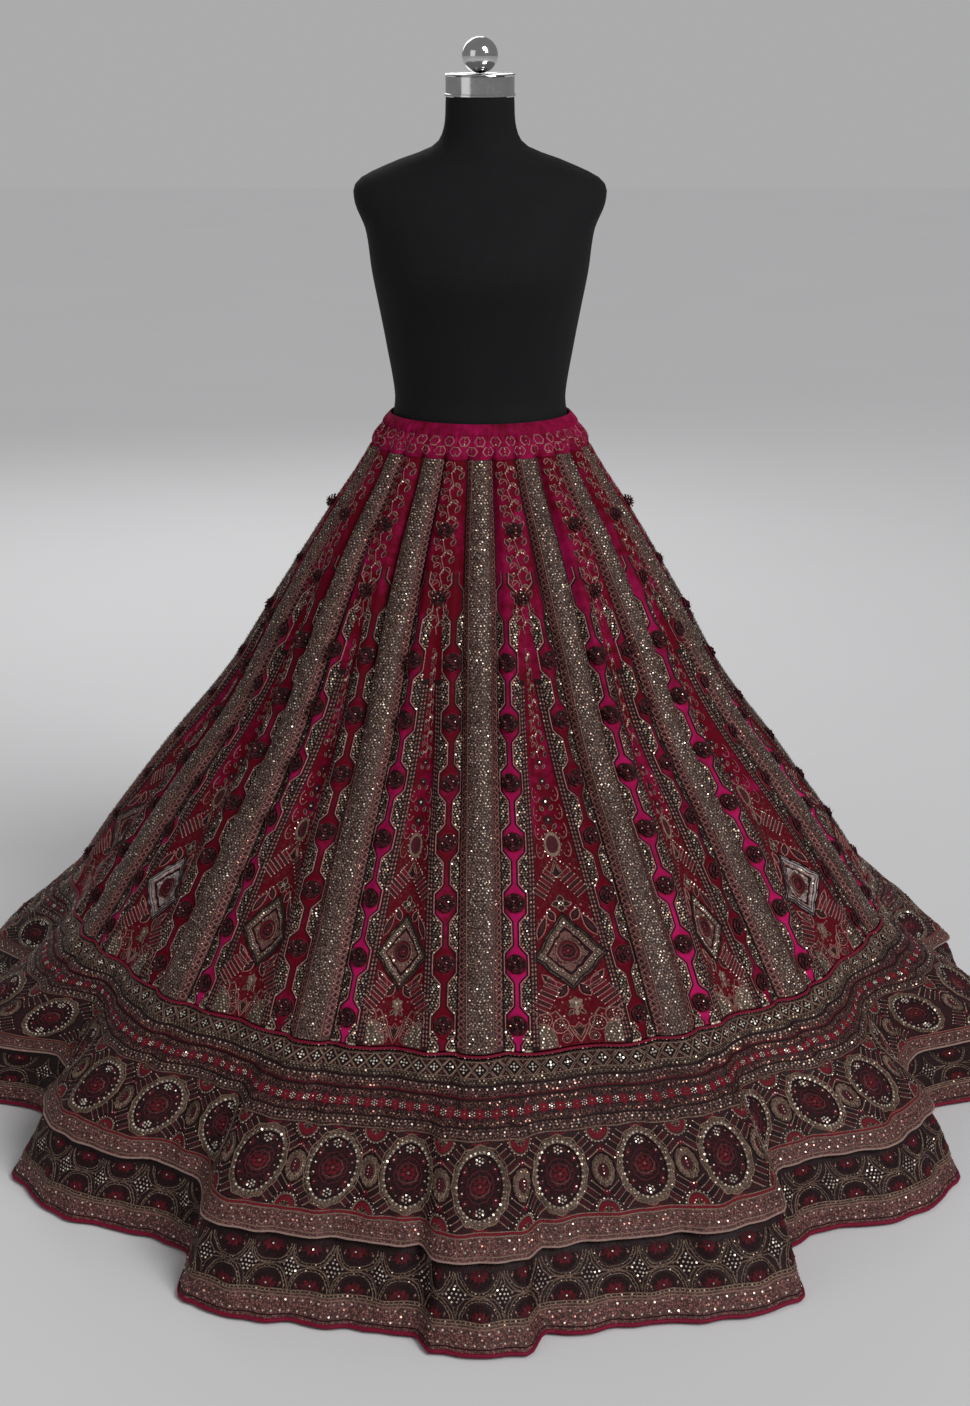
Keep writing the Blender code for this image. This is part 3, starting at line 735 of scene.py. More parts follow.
def add_piece(name, points, loops, sizes, finishes, choice=None, uv=None, shade=None, node=None):
    """A mesh piece that rides on the body; sizes are the corner counts of its faces."""
    mesh = bpy.data.meshes.new(name)
    loops, sizes = np.asarray(loops, np.int32), np.asarray(sizes, np.int32)
    mesh.vertices.add(len(points))
    mesh.vertices.foreach_set("co", np.asarray(points, np.float32).ravel())
    mesh.loops.add(len(loops))
    mesh.loops.foreach_set("vertex_index", loops)
    mesh.polygons.add(len(sizes))
    mesh.polygons.foreach_set("loop_start", np.concatenate(([0], np.cumsum(sizes)[:-1])).astype(np.int32))
    for label in finishes:
        mesh.materials.append(finish(label))
    if choice is not None:
        mesh.polygons.foreach_set("material_index", np.asarray(choice, np.int32))
    if uv is not None:
        mesh.uv_layers.new(name=UV_NAME).data.foreach_set("uv", np.asarray(uv, np.float32).ravel())
    if shade is not None:
        attribute = mesh.attributes.new("shade", "FLOAT", "POINT")
        attribute.data.foreach_set("value", np.asarray(shade, np.float32))
    mesh.update(calc_edges=True)
    mesh.shade_smooth()
    item = bpy.data.objects.new(name, mesh)
    bpy.context.scene.collection.objects.link(item)
    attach(item, BODY)
    if node:
        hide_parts(node)
    return item


def grid_faces(rows, columns, ring, start=0):
    """Corner numbers of the quads of a grid, seen from its outer side."""
    r, c = np.meshgrid(np.arange(rows), np.arange(columns), indexing="ij")
    per_row = columns if ring else columns + 1
    d = (c + 1) % per_row
    quads = np.stack((r * per_row + c, (r + 1) * per_row + c, (r + 1) * per_row + d, r * per_row + d), -1)
    return quads.reshape(-1, 4) + start


def joined_seam(uv, length):
    """Corners of the faces that cross a ring's seam, carried on past its length."""
    jump = uv[..., 0].max(1) - uv[..., 0].min(1) > length / 2.0
    near = uv[..., 0] < length / 2.0
    uv[..., 0] = np.where(jump[:, None] & near, uv[..., 0] + length, uv[..., 0])
    return uv


def shell(node, outer, normals, thickness, ring, across, falls, label, shade=0.5):
    """A thin closed wall of cloth on a grid of points, top row first."""
    rows, per_row = outer.shape[0] - 1, outer.shape[1]
    columns = per_row if ring else per_row - 1
    inner = outer - normals * thickness
    count = outer.shape[0] * per_row
    faces = [grid_faces(rows, columns, ring), grid_faces(rows, columns, ring, count)[:, ::-1]]
    top = np.arange(columns)
    after = (top + 1) % per_row
    side = np.arange(rows) * per_row
    edges = [(top, after), (rows * per_row + after, rows * per_row + top)]
    if not ring:
        edges += [(side + per_row, side), (side + columns, side + per_row + columns)]
    faces += [np.stack((a, b, b + count, a + count), -1) for a, b in edges]
    faces = np.concatenate(faces)
    grid_x = np.broadcast_to(across, outer.shape[:2]).ravel()
    grid_y = np.broadcast_to(np.reshape(falls, (-1, 1)), outer.shape[:2]).ravel()
    uv = np.tile(np.stack((grid_x, grid_y), -1), (2, 1))[faces.ravel()].reshape(-1, 4, 2)
    if ring:
        uv = joined_seam(uv, np.max(grid_x) * per_row / (per_row - 1))
    item = add_piece(
        f"{node}_cloth", np.concatenate((outer.reshape(-1, 3), inner.reshape(-1, 3))), faces.ravel(),
        np.full(len(faces), 4), [label], uv=uv, node=node,
        shade=np.tile(np.broadcast_to(shade, outer.shape[:2]).ravel(), 2),
    )
    item.data.set_sharp_from_angle(angle=math.radians(50.0))
    return item


def declare_sheet(points, ring):
    """Works out the cloth's size laid flat, from its outer face; nothing is kept or returned."""
    closed = np.concatenate((points, points[:, :1]), 1) if ring else points
    width = float(np.linalg.norm(np.diff(closed, axis=1), axis=-1).sum(1).max())
    length = float(np.linalg.norm(np.diff(points, axis=0), axis=-1).sum(0).max())
    corner = closed[:-1, :-1]
    area = float(np.linalg.norm(np.cross(closed[1:, :-1] - corner, closed[:-1, 1:] - corner), axis=-1).sum())
    area = min(area, width * length)


def tube(node, path, out, radius, label):
    """A soft round edge along a closed path; out is the cloth's own direction there."""
    sides, flatten = 6, 0.8
    along = unit(np.roll(path, -1, axis=0) - np.roll(path, 1, axis=0))
    down = unit(np.cross(out, along))
    angles = 2.0 * math.pi * np.arange(sides) / sides
    rings = (
        path[:, None]
        + out[:, None] * np.cos(angles)[None, :, None] * radius * flatten
        + down[:, None] * np.sin(angles)[None, :, None] * radius
    )
    count = len(path)
    i, j = np.meshgrid(np.arange(count), np.arange(sides), indexing="ij")
    k, m = (i + 1) % count, (j + 1) % sides
    faces = np.stack((i * sides + j, k * sides + j, k * sides + m, i * sides + m), -1).reshape(-1, 4)
    first = rings.reshape(-1, 3)[faces]
    normal = np.cross(first[:, 1] - first[:, 0], first[:, 2] - first[:, 0])
    inward = np.einsum("ij,ij->i", normal, first[:, 0] - rings.mean(1)[faces[:, 0] // sides]) < 0.0
    faces[inward] = faces[inward][:, ::-1]
    return add_piece(
        f"{node}_roll", rings.reshape(-1, 3), faces.ravel(), np.full(len(faces), 4), [label],
        shade=np.full(count * sides, 0.7), node=node,
    )


def turned(node, profile, segments, label):
    """A solid of revolution from (radius, height) pairs, foot first; radius 0 closes it."""
    points, rings = [], []
    for radius, height in profile:
        count = segments if radius else 1
        rings.append(list(range(len(points), len(points) + count)))
        angles = 2.0 * math.pi * np.arange(count) / segments
        points += [(radius * math.cos(a), radius * math.sin(a), height) for a in angles]
    loops, sizes = [], []
    for low, high in zip(rings, rings[1:]):
        for j in range(segments):
            k = (j + 1) % segments
            corners = (low[j % len(low)], low[k % len(low)], high[k % len(high)], high[j % len(high)])
            corners = list(dict.fromkeys(corners))
            loops += corners
            sizes.append(len(corners))
    item = add_piece(f"{node}_cover", points, loops, sizes, [label], node=node)
    item.data.set_sharp_from_angle(angle=math.radians(35.0))


def form_point(angle, height, grow=0.0):
    sine, cosine = np.sin(angle), np.cos(angle)
    power = 2.0 / FORM.read("square", height)
    x = (FORM.read("half_width", height) + grow) * np.sign(sine) * np.abs(sine) ** power
    y = -(FORM.read("half_depth", height) + grow) * np.sign(cosine) * np.abs(cosine) ** power
    y = y - FORM.read("forward", height)
    return np.stack(np.broadcast_arrays(x, y, height), -1)


# Needlework: drawings in metres, x across and y down

# The pale sequins stand partly for painted glints
PALE_GLINT, GOLD, ROSE = "pale_sequin", "gold_sequin", "rose_sequin"
TAUPE, PINK, DARK = "taupe_cord", "pink_cord", "dark_cord"
RED, WINE, SILVER = "red_thread", "wine_thread", "silver_patch"
SIDE_STEP = 0.01
FLAT_CORD = 0.00145
SMALL_SEQUIN = 0.00125
LONG_STEP = 0.008
MIDDLE = ((0.0, 0.0),)


def arc(rx, ry, start, end, count, x=0.0, y=0.0):
    """Points of an elliptic arc; angles in degrees, 0 to the right and 90 down."""
    a = np.radians(np.linspace(start, end, count + 1))
    return np.stack((x + rx * np.cos(a), y + ry * np.sin(a)), -1)


def oval(rx, ry, count, start=0.0, x=0.0, y=0.0):
    return arc(rx, ry, start, start + 360.0, count, x, y)[:-1]


def moved(points, x=0.0, y=0.0, turn=0.0, scale=1.0, flip=1.0):
    points = np.asarray(points, float) * (flip, 1.0) * scale
    c, s = math.cos(math.radians(turn)), math.sin(math.radians(turn))
    return points @ np.array(((c, s), (-s, c))) + (x, y)


def both(places):
    """Places and their mirror images at the other side."""
    return list(places) + [(-x, y) for x, y in places]


def down_again(path):
    """A path that ends on the level line, carried on by its mirror image below."""
    path = np.asarray(path, float)
    return np.concatenate((path, (path * (1.0, -1.0))[::-1][1:]))


def round_again(path):
    """An outline from its right half, which starts and ends on the upright line."""
    path = np.asarray(path, float)
    return np.concatenate((path, (path * (-1.0, 1.0))[::-1][1:-1]))


def wavy(outline, depth, step=math.pi):
    return outline * (1.0 + depth * np.cos(np.arange(len(outline)) * step))[:, None]


def leaf(length, width, x=0.0, y=0.0, turn=0.0, count=4, point=0.85):
    """Outline of a leaf or petal that grows upwards from its foot."""
    t = np.linspace(0.0, 1.0, count + 1)
    side = width / 2.0 * np.sin(math.pi * t**point)
    return moved(round_again(np.stack((side, -length * t), -1)), x, y, turn)


def split(path, closed):
    """A path with points added, so that long sides follow the curve of the cloth."""
    path = np.asarray(path, float)
    out = []
    for a, b in zip(path, np.roll(path, -1, 0) if closed else path[1:]):
        count = max(1, math.ceil(float(np.linalg.norm(b - a)) / SIDE_STEP))
        out += [a + (b - a) * t / count for t in range(count)]
    return np.array(out if closed else out + [path[-1]])


def raised(lines):
    """Flat lines, each with its height, as one list of points."""
    return np.concatenate([np.column_stack((line, np.full(len(line), lift))) for line, lift in lines])


def strip_faces(count, lines, closed):
    """Quads between neighbouring lines of count points."""
    return [
        (row + j, row + (j + 1) % count, row + count + (j + 1) % count, row + count + j)
        for j in range(count if closed else count - 1)
        for row in range(0, (lines - 1) * count, count)
    ]


class Motif:
    """A small drawing in thread and sequins; each of its shapes has a finish, a rise and a shade."""

    def __init__(self):
        self.parts = []
        self.spots = []

    def add(self, label, points, faces, shade):
        points, up = np.asarray(points, float), []
        for face in faces:
            corners = points[list(face)] * (1.0, -1.0, 1.0)
            normal = np.cross(corners[1] - corners[0], corners[2] - corners[1])
            for a, b, c in zip(corners, np.roll(corners, -1, 0), np.roll(corners, -2, 0)):
                normal = normal + np.cross(b - a, c - b)
            up.append(tuple(face) if normal[2] >= 0.0 else tuple(face)[::-1])
        self.parts.append((label, points, up, shade))
        return self

    def cord(self, label, path, width, rise, shade=0.5, closed=False):
        path = split(path, closed)
        along = unit(np.roll(path, -1, 0) - np.roll(path, 1, 0) if closed else np.gradient(path, axis=0))
        side = np.stack((-along[:, 1], along[:, 0]), -1) * width / 2.0
        lines = [(path + side, 0.0001), (path, rise), (path - side, 0.0001)]
        if width < FLAT_CORD:
            lines = [(path + side, rise), (path - side, rise * 0.6)]
        return self.add(label, raised(lines), strip_faces(len(path), len(lines), closed), shade)

    def ring(self, label, outline, width, rise, shade=0.5):
        """A cord right round an outline."""
        return self.cord(label, outline, width, rise, shade, closed=True)

    def fill(self, label, outline, rise=0.0008, shade=0.5, foot=0.0002, domed=True, step=SIDE_STEP):
        outline = split(outline, True)
        n, centre = len(outline), outline.mean(0)
        count = math.ceil(np.linalg.norm(outline - centre, axis=1).max() / step)
        lines = []
        for size in 1.0 - np.arange(count) / count:
            lift = foot + (rise - foot) * math.sqrt(1.0 - size * size) if domed else rise
            lines.append((centre + (outline - centre) * size, lift))
        faces = strip_faces(n, count, True)
        faces += [(count * n - n + j, count * n - n + (j + 1) % n, count * n) for j in range(n)]
        return self.add(label, raised(lines + [([centre], rise)]), faces, shade)

    def band(self, label, outline, share, rise, shade):
        """A raised band between an outline and its smaller copy, both round one centre."""
        outline = split(outline, True)
        lines = [(outline, 0.0002), (outline * (1.0 + share) / 2.0, rise), (outline * share, 0.0002)]
        return self.add(label, raised(lines), strip_faces(len(outline), 3, True), shade)

    def dots(self, label, places=MIDDLE, radius=0.0014, rise=0.0006, shade=0.5):
        self.spots.append((label, np.asarray(places, float).reshape(-1, 2), radius, rise, shade))
        return self

    def take(self, other, x=0.0, y=0.0, turn=0.0, scale=1.0, flip=1.0):
        """Another motif inside this one."""
        for label, points, faces, shade in other.parts:
            flat = moved(points[:, :2], x, y, turn, scale, flip)
            self.add(label, np.column_stack((flat, points[:, 2] * scale)), faces, shade)
        for label, places, radius, rise, shade in other.spots:
            self.spots.append((label, moved(places, x, y, turn, scale, flip), radius * scale, rise, shade))
        return self

    def pair(self, other, x, y, turn=0.0):
        """Another motif on both sides of the middle, mirrored."""
        self.take(other, x, y, turn)
        return self.take(Motif().take(other, turn=turn), -x, y, flip=-1.0)

    def compiled(self):
        """Points, corners, corner counts, finish numbers and shades of all its shapes."""
        loops, sizes, labels, count = [], [], [], 0
        for label, part, faces, _ in self.parts:
            for face in faces:
                loops.extend(corner + count for corner in face)
                sizes.append(len(face))
                labels.append(FINISH_NAMES.index(label))
            count += len(part)
        shades = [np.full(len(part), shade) for _, part, _, shade in self.parts]
        points = np.concatenate([part for _, part, _, _ in self.parts])
        return points, np.array(loops), np.array(sizes), np.array(labels), np.concatenate(shades)


def inside(places, outline):
    """Which places lie inside an outline."""
    x, y = places[:, 0][:, None], places[:, 1][:, None]
    a, b = outline, np.roll(outline, -1, 0)
    crosses = (a[:, 1] > y) != (b[:, 1] > y)
    slope = (b[:, 0] - a[:, 0]) / np.where(b[:, 1] == a[:, 1], 1e-12, b[:, 1] - a[:, 1])
    return ((crosses & (x < a[:, 0] + slope * (y - a[:, 1]))).sum(1) % 2).astype(bool)


def scales(outline, pitch):
    """Places for overlapping rows of sequins inside an outline."""
    low, high = outline.min(0), outline.max(0)
    places = []
    for k, y in enumerate(np.arange(low[1] + pitch / 2.0, high[1], pitch * 0.87)):
        places += [(x, y) for x in np.arange(low[0] + (k % 2) * pitch / 2.0, high[0] + pitch, pitch)]
    places = np.array(places)
    places = places[inside(places, outline)]
    return places + (pitch * 0.13 * np.sin(np.arange(places.size) * 2.4)).reshape(-1, 2)


class Needlework:
    """All thread, sequins and beads of one cloth, gathered into one mesh."""

    def __init__(self, name, seed):
        self.name, self.gathered, self.count = name, [], 0
        self.random = np.random.default_rng(seed)

    def gather(self, points, loops, sizes, choice, shades):
        self.gathered.append((points, loops + self.count, sizes, choice, shades))
        self.count += len(points)

    def sequins(self, label, centres, normals, radius, shade):
        """Small discs, each tipped a little its own way."""
        n = len(centres)
        sides = 4 if radius < SMALL_SEQUIN else 5
        side = unit(np.cross(normals, (0.0, 0.0, 1.0)))
        up = np.cross(side, normals)
        tip = self.random.normal(0.0, settings().sequin_tilt, (n, 2))
        turn = self.random.uniform(0.0, 2.0 * math.pi, n)
        angles = turn[:, None] + 2.0 * math.pi * np.arange(sides) / sides
        c, s = np.cos(angles) * radius, np.sin(angles) * radius
        lift = c * tip[:, :1] + s * tip[:, 1:]
        points = centres[:, None] + side[:, None] * c[..., None] + up[:, None] * s[..., None]
        points = points + normals[:, None] * lift[..., None]
        shades = np.clip(shade + self.random.normal(0.0, 0.22, n), 0.0, 1.0)
        loops = np.arange(n * sides).reshape(n, sides)[:, ::-1].ravel()
        choice = np.full(n, FINISH_NAMES.index(label))
        self.gather(points.reshape(-1, 3), loops, np.full(n, sides), choice, np.repeat(shades, sides))

    def lay(self, motif, cloth, line, falls, wide=1.0, long=1.0):
        """A motif at each fall along a line of the cloth; wide and long stretch it."""
        if not callable(line):
            line, falls = np.broadcast_arrays(line, falls)
            line = line[:, None]
        falls = np.atleast_1d(falls)[:, None]
        n = len(falls)
        wide, long = (np.broadcast_to(stretch, n)[:, None] for stretch in (wide, long))
        if motif.parts:
            template, loops, sizes, labels, shades = motif.compiled()
            fall = falls + template[:, 1] * long
            points, _ = cloth.at(
                line, template[:, 0] * wide, fall, np.broadcast_to(template[:, 2], fall.shape),
            )
            loops = (loops[None] + np.arange(n)[:, None] * len(template)).ravel()
            self.gather(
                points.reshape(-1, 3), loops, np.tile(sizes, n), np.tile(labels, n), np.tile(shades, n),
            )
        for label, places, radius, rise, shade in motif.spots:
            x, y = places.T
            points, normals = cloth.at(line, x * wide, falls + y * long, rise)
            self.sequins(label, points.reshape(-1, 3), normals.reshape(-1, 3), radius, shade)

    def long_cord(self, cloth, line, start, end, label, width, rise, shade=0.5):
        """A cord that runs down a panel beside a line."""
        count = max(2, round((end - start) / LONG_STEP))
        path = np.linspace((0.0, 0.0), (0.0, end - start), count + 1)
        self.lay(Motif().cord(label, path, width, rise, shade), cloth, line, start)

    def ring_cord(self, ring, fall, label, width, rise, shade=0.5):
        """A cord right round a tier."""
        places = np.arange(ring.columns) / ring.per_fold
        rows = [
            ring.at(places, 0.0, fall + down, lift)[0]
            for down, lift in ((-width / 2.0, 0.0001), (0.0, rise), (width / 2.0, 0.0001))
        ]
        faces = grid_faces(2, ring.columns, True)
        n = len(faces)
        choice, shades = np.full(n, FINISH_NAMES.index(label)), np.full(3 * ring.columns, shade)
        self.gather(np.concatenate(rows), faces.ravel(), np.full(n, 4), choice, shades)

    def repeat(self, ring, motif, per_fold, fall, shift=0.0):
        """A motif round a tier, a number of times in each fold."""
        self.lay(motif, ring, (np.arange(FOLD_COUNT * per_fold) + shift) / per_fold, fall)

    def piece(self):
        """Join what was gathered; only the finishes that it uses go with it."""
        points, loops, sizes, choice, shades = (np.concatenate(part) for part in zip(*self.gathered))
        used, choice = np.unique(choice, return_inverse=True)
        labels = [FINISH_NAMES[j] for j in used]
        return add_piece(self.name, points, loops, sizes, labels, choice=choice, shade=shades)


# Pieces of the dress form


def make_form():
    heights = np.concatenate((
        [FORM_ROWS[-1][0]],
        np.linspace(FORM_ROWS[-2][0], FORM_ROWS[0][0], 84),
    ))[::-1]
    segments = 80
    angles = math.tau * np.arange(segments) / segments
    points = form_point(angles[None, :], heights[:, None])
    seam = np.abs((angles / math.tau * 8.0 + 0.5) % 1.0 - 0.5)
    dent = 0.0009 * np.exp(-((seam / 0.05) ** 2))
    dent = dent[None, :] * ((heights > BAND_TOP) & (heights < FORM_ROWS[2][0]))[:, None]
    centre = points * (0.0, 0.0, 1.0)
    points = points - unit(points - centre) * dent[..., None]
    rows = len(heights) - 1
    faces = grid_faces(rows, segments, True)
    caps = [list(range(segments)), list(range(rows * segments, (rows + 1) * segments))[::-1]]
    loops = np.concatenate((faces.ravel(), *caps))
    sizes = np.concatenate((np.full(len(faces), 4), [segments, segments]))
    girth = 0.13
    across = np.broadcast_to(angles * girth, points.shape[:2])
    down = np.broadcast_to(-heights[:, None], points.shape[:2])
    uv = np.stack((across.ravel(), down.ravel()), -1)[loops]
    wraps = uv[: faces.size].reshape(-1, 4, 2)
    uv[: faces.size] = joined_seam(wraps, math.tau * girth).reshape(-1, 2)
    torso = add_piece(
        "form_torso_cover", points.reshape(-1, 3), loops, sizes, ["black_jersey"], uv=uv,
        node="form_torso",
    )
    torso.data.set_sharp_from_angle(angle=math.radians(50.0))

    foot = FORM_ROWS[0][0] + SEAM_GAP
    top = foot + NECK_CAP_HEIGHT
    lip = 0.0035
    cap = [(0.0, foot), (NECK_CAP_RADIUS - 0.001, foot)]
    cap += [(NECK_CAP_RADIUS, foot + 0.001), (NECK_CAP_RADIUS, foot + lip)]
    cap += [(NECK_CAP_RADIUS - 0.0012, foot + lip + 0.0008), (NECK_CAP_RADIUS - 0.0012, top - lip)]
    rim = 0.0022
    turns = np.linspace(0.0, math.pi / 2.0, 6)
    cap += [(NECK_CAP_RADIUS - rim + rim * math.cos(t), top - rim + rim * math.sin(t)) for t in turns]
    cap += [(FINIAL_RADIUS * 0.62, top), (FINIAL_RADIUS * 0.55, top - 0.0002), (0.0, top)]
    turned("form_neck_cap", cap, 96, "polished_chrome")

    centre_height = top + SEAM_GAP + FINIAL_RADIUS * math.cos(FINIAL_SEAT)
    turns = np.linspace(FINIAL_SEAT, math.pi, 40)[:-1]
    ball = [(0.0, top + SEAM_GAP)]
    ball += [(FINIAL_RADIUS * math.sin(t), centre_height - FINIAL_RADIUS * math.cos(t)) for t in turns]
    ball.append((0.0, centre_height + FINIAL_RADIUS))
    turned("form_finial", ball, 72, "polished_chrome")

    pole_foot, pole_top = BASE_HEIGHT + SEAM_GAP, FORM_ROWS[-1][0] - SEAM_GAP
    clamp = 0.46
    pole = [
        (0.0, pole_foot), (POLE_RADIUS, pole_foot), (POLE_RADIUS, clamp),
        (POLE_RADIUS - 0.0025, clamp + 0.003),
    ]
    pole += [
        (POLE_RADIUS - 0.0025, pole_top - 0.012), (POLE_RADIUS, pole_top - 0.01), (POLE_RADIUS, pole_top),
    ]
    pole.append((0.0, pole_top))
    turned("form_pole", pole, 48, "stand_steel")

    base = [(0.0, 0.0), (BASE_RADIUS - 0.002, 0.0), (BASE_RADIUS, 0.003), (BASE_RADIUS, 0.01)]
    base += [(BASE_RADIUS - 0.003, 0.0135), (BASE_RADIUS - 0.01, 0.015), (POLE_RADIUS * 3.2, 0.0196)]
    base += [(POLE_RADIUS * 2.0, BASE_HEIGHT - 0.0006), (POLE_RADIUS * 1.9, BASE_HEIGHT), (0.0, BASE_HEIGHT)]
    turned("form_base", base, 96, "stand_steel")


# Pieces of the skirt

SHELL_SHARE = 0.6


def waistband_grid():
    """The gathered band: close to the form at the top, on the skirt at the foot."""
    columns, rows = 336, 14
    angles = math.tau * np.arange(columns) / columns
    u = angles / FOLD_ANGLE
    down = np.linspace(0.0, 1.0, rows + 1)[:, None]
    top, foot = BAND_TOP - SEAM_GAP / 2.0, BAND_FOOT + SEAM_GAP / 2.0
    heights = top + (foot - top) * down
    near = form_point(angles[None, :], heights, BAND_CLEARANCE + BAND_FLARE * down)
    skirt = cloth_point(u, BAND_FOOT)
    skirt = skirt - unit(skirt * (1.0, 1.0, 0.0)) * settings().cloth_thickness
    skirt = np.broadcast_to(skirt[None], near.shape) * (1.0, 1.0, 0.0) + near * (0.0, 0.0, 1.0)
    points = near + (skirt - near) * (down**1.4)[..., None]
    out = unit(points * (1.0, 1.0, 0.0))
    gathers = np.sin(u * math.tau * 6.0 + 2.0 * np.sin(u * 2.7)) * 0.0011
    gathers = gathers + np.sin(u * math.tau * 11.0 + 3.0 * down) * 0.0007
    casing = 0.004 * np.sqrt(np.clip(1.0 - ((down - 0.17) / 0.19) ** 2, 0.0, 1.0))
    swell = 0.003 * np.sin(math.pi * np.clip((down - 0.36) / 0.64, 0.0, 1.0))
    lift = 0.0022 + casing + swell + (gathers + 0.0013) * np.sin(math.pi * np.clip(down, 0.06, 0.97))
    return points + out * lift[..., None]


class Band(Cloth):
    """The waistband, read by folds round and metres down."""

    FOLD_LENGTH = 0.058

    def __init__(self):
        points = waistband_grid()
        super().__init__(points, BAND_TOP - BAND_FOOT, ring=True)
        self.per_fold = self.columns / FOLD_COUNT

    def at(self, place, across, fall, lift):
        column = (place + across / self.FOLD_LENGTH) * self.per_fold
        return self.lifted(self.row_of(fall), column, lift)


def make_waistband():
    band = Band()
    across = np.arange(band.columns)[None, :] * 0.0026
    falls = np.linspace(0.0, band.fall_length, band.rows + 1)
    item = shell(
        "waistband", band.points, band.normals, settings().cloth_thickness, True, across, falls,
        "waistband_velvet",
    )
    work = Needlework("waistband_needlework", 11)
    sprig = Motif()
    sprig.ring(PINK, oval(0.0065, 0.006, 6), 0.0014, 0.0009, 0.6)
    sprig.dots(GOLD, [(0.0, 0.0), (0.0, -0.0034), (0.0, 0.0034)], 0.0012)
    for row, fall in enumerate((0.0215, 0.0335)):
        work.repeat(band, sprig, 3, fall, row * 0.5)
    thread = work.piece()
    declare_sheet(band.points, True)


def panel_shell(name, cloth, label, worked=None):
    """A stripe's or gore's cloth; its shade is 1 at the seams, and -1 in the part that is stitched over."""
    t = np.linspace(-1.0, 1.0, cloth.columns + 1)
    falls = np.linspace(0.0, cloth.fall_length, cloth.rows + 1)
    shade = np.broadcast_to(np.abs(t), cloth.points.shape[:2])
    halves = cloth.halves
    across = np.where(t < 0.0, t * halves[:, :1], t * halves[:, 1:])
    if worked:
        within = np.abs(across) < np.abs(halves).mean(1)[:, None] - worked[0]
        shade = np.where(within & (falls[:, None] > worked[1]), -1.0, shade)
    thickness = settings().cloth_thickness * SHELL_SHARE
    return shell(name, cloth.points, cloth.normals, thickness, False, across, falls, label, shade)


def arch_tooth():
    """One small arch of a stripe's side column, with its dark core and bead."""
    tooth = Motif()
    tooth.fill(WINE, leaf(0.004, 0.003, 0.0, 0.0022, 0.0, 3), 0.0007, 0.35)
    tooth.ring(PINK, leaf(0.0078, 0.007, 0.0, 0.004, 0.0, 4), 0.0014, 0.0011, 0.35)
    tooth.dots(ROSE, [(-0.0036, 0.0048), (0.0036, 0.0048)], 0.001, 0.0009, 0.5)
    return tooth


def sequin_rows(work, cloth):
    """Loose rows of sequins down the middle column of a stripe."""
    pitch = settings().sequin_pitch
    spread = {label: ([], []) for label in (PALE_GLINT, GOLD)}
    for k, fall in enumerate(np.arange(0.002, cloth.fall_length - 0.001, pitch * 0.86)):
        room = float(cloth.half(fall)) * 0.47
        count = max(2, round(2.0 * room / pitch))
        xs = (np.arange(count) - (count - 1) / 2.0 + (0.25 if k % 2 else -0.25)) * (2.0 * room / count)
        xs = xs + work.random.normal(0.0, pitch * 0.12, count)
        falls = fall + work.random.normal(0.0, pitch * 0.12, count)
        # Pale sequins among the gold ones are partly painted glints
        pale = work.random.random(count) < settings().pale_glint_share
        for label, chosen in ((PALE_GLINT, pale), (GOLD, ~pale)):
            spread[label][0].append(xs[chosen])
            spread[label][1].append(falls[chosen])
    for label, (xs, falls) in spread.items():
        xs, falls = np.concatenate(xs), np.concatenate(falls)
        points, normals = cloth.at(lambda v: 0.0, xs, falls, 0.0009)
        work.sequins(label, points, normals, settings().sequin_radius, 0.6)


def make_stripes():
    tooth = arch_tooth()
    bead = Motif()
    bead.dots(GOLD, MIDDLE, 0.0009, 0.0009, 0.5)
    for fold in range(FOLD_COUNT):
        cloth = stripe_cloth(fold)
        name = f"stripe_{fold:02d}"
        item = panel_shell(name, cloth, "stripe_ground")
        work = Needlework(name + "_needlework", 100 + fold)
        length = cloth.fall_length
        for side in (-1.0, 1.0):
            edge = lambda v, s=side: s * (cloth.half(v, s) - 0.0012)
            inner = lambda v, s=side: s * cloth.half(v, s) * SIDE_COLUMN
            column = lambda v, s=side: s * (cloth.half(v, s) * 0.77 - 0.0006)
            beside = lambda v, s=side: s * (cloth.half(v, s) * SIDE_COLUMN + 0.0022)
            # Dark edge cord: partly the stripe's real outline, partly a painted shadow line along the groove
            # beside it
            work.long_cord(cloth, edge, 0.0, length, DARK, 0.0018, 0.0012, 0.3)
            work.long_cord(cloth, inner, 0.0, length, PINK, 0.0012, 0.0009, 0.2)
            falls = np.arange(0.006, length - 0.004, 0.008)
            size = cloth.half(falls, side) * 0.42 / 0.01
            work.lay(tooth, cloth, column, falls, wide=np.clip(size, 0.6, 1.25))
            work.lay(bead, cloth, beside, np.arange(0.002, length, 0.0048))
        sequin_rows(work, cloth)
        thread = work.piece()
        declare_sheet(cloth.points, False)


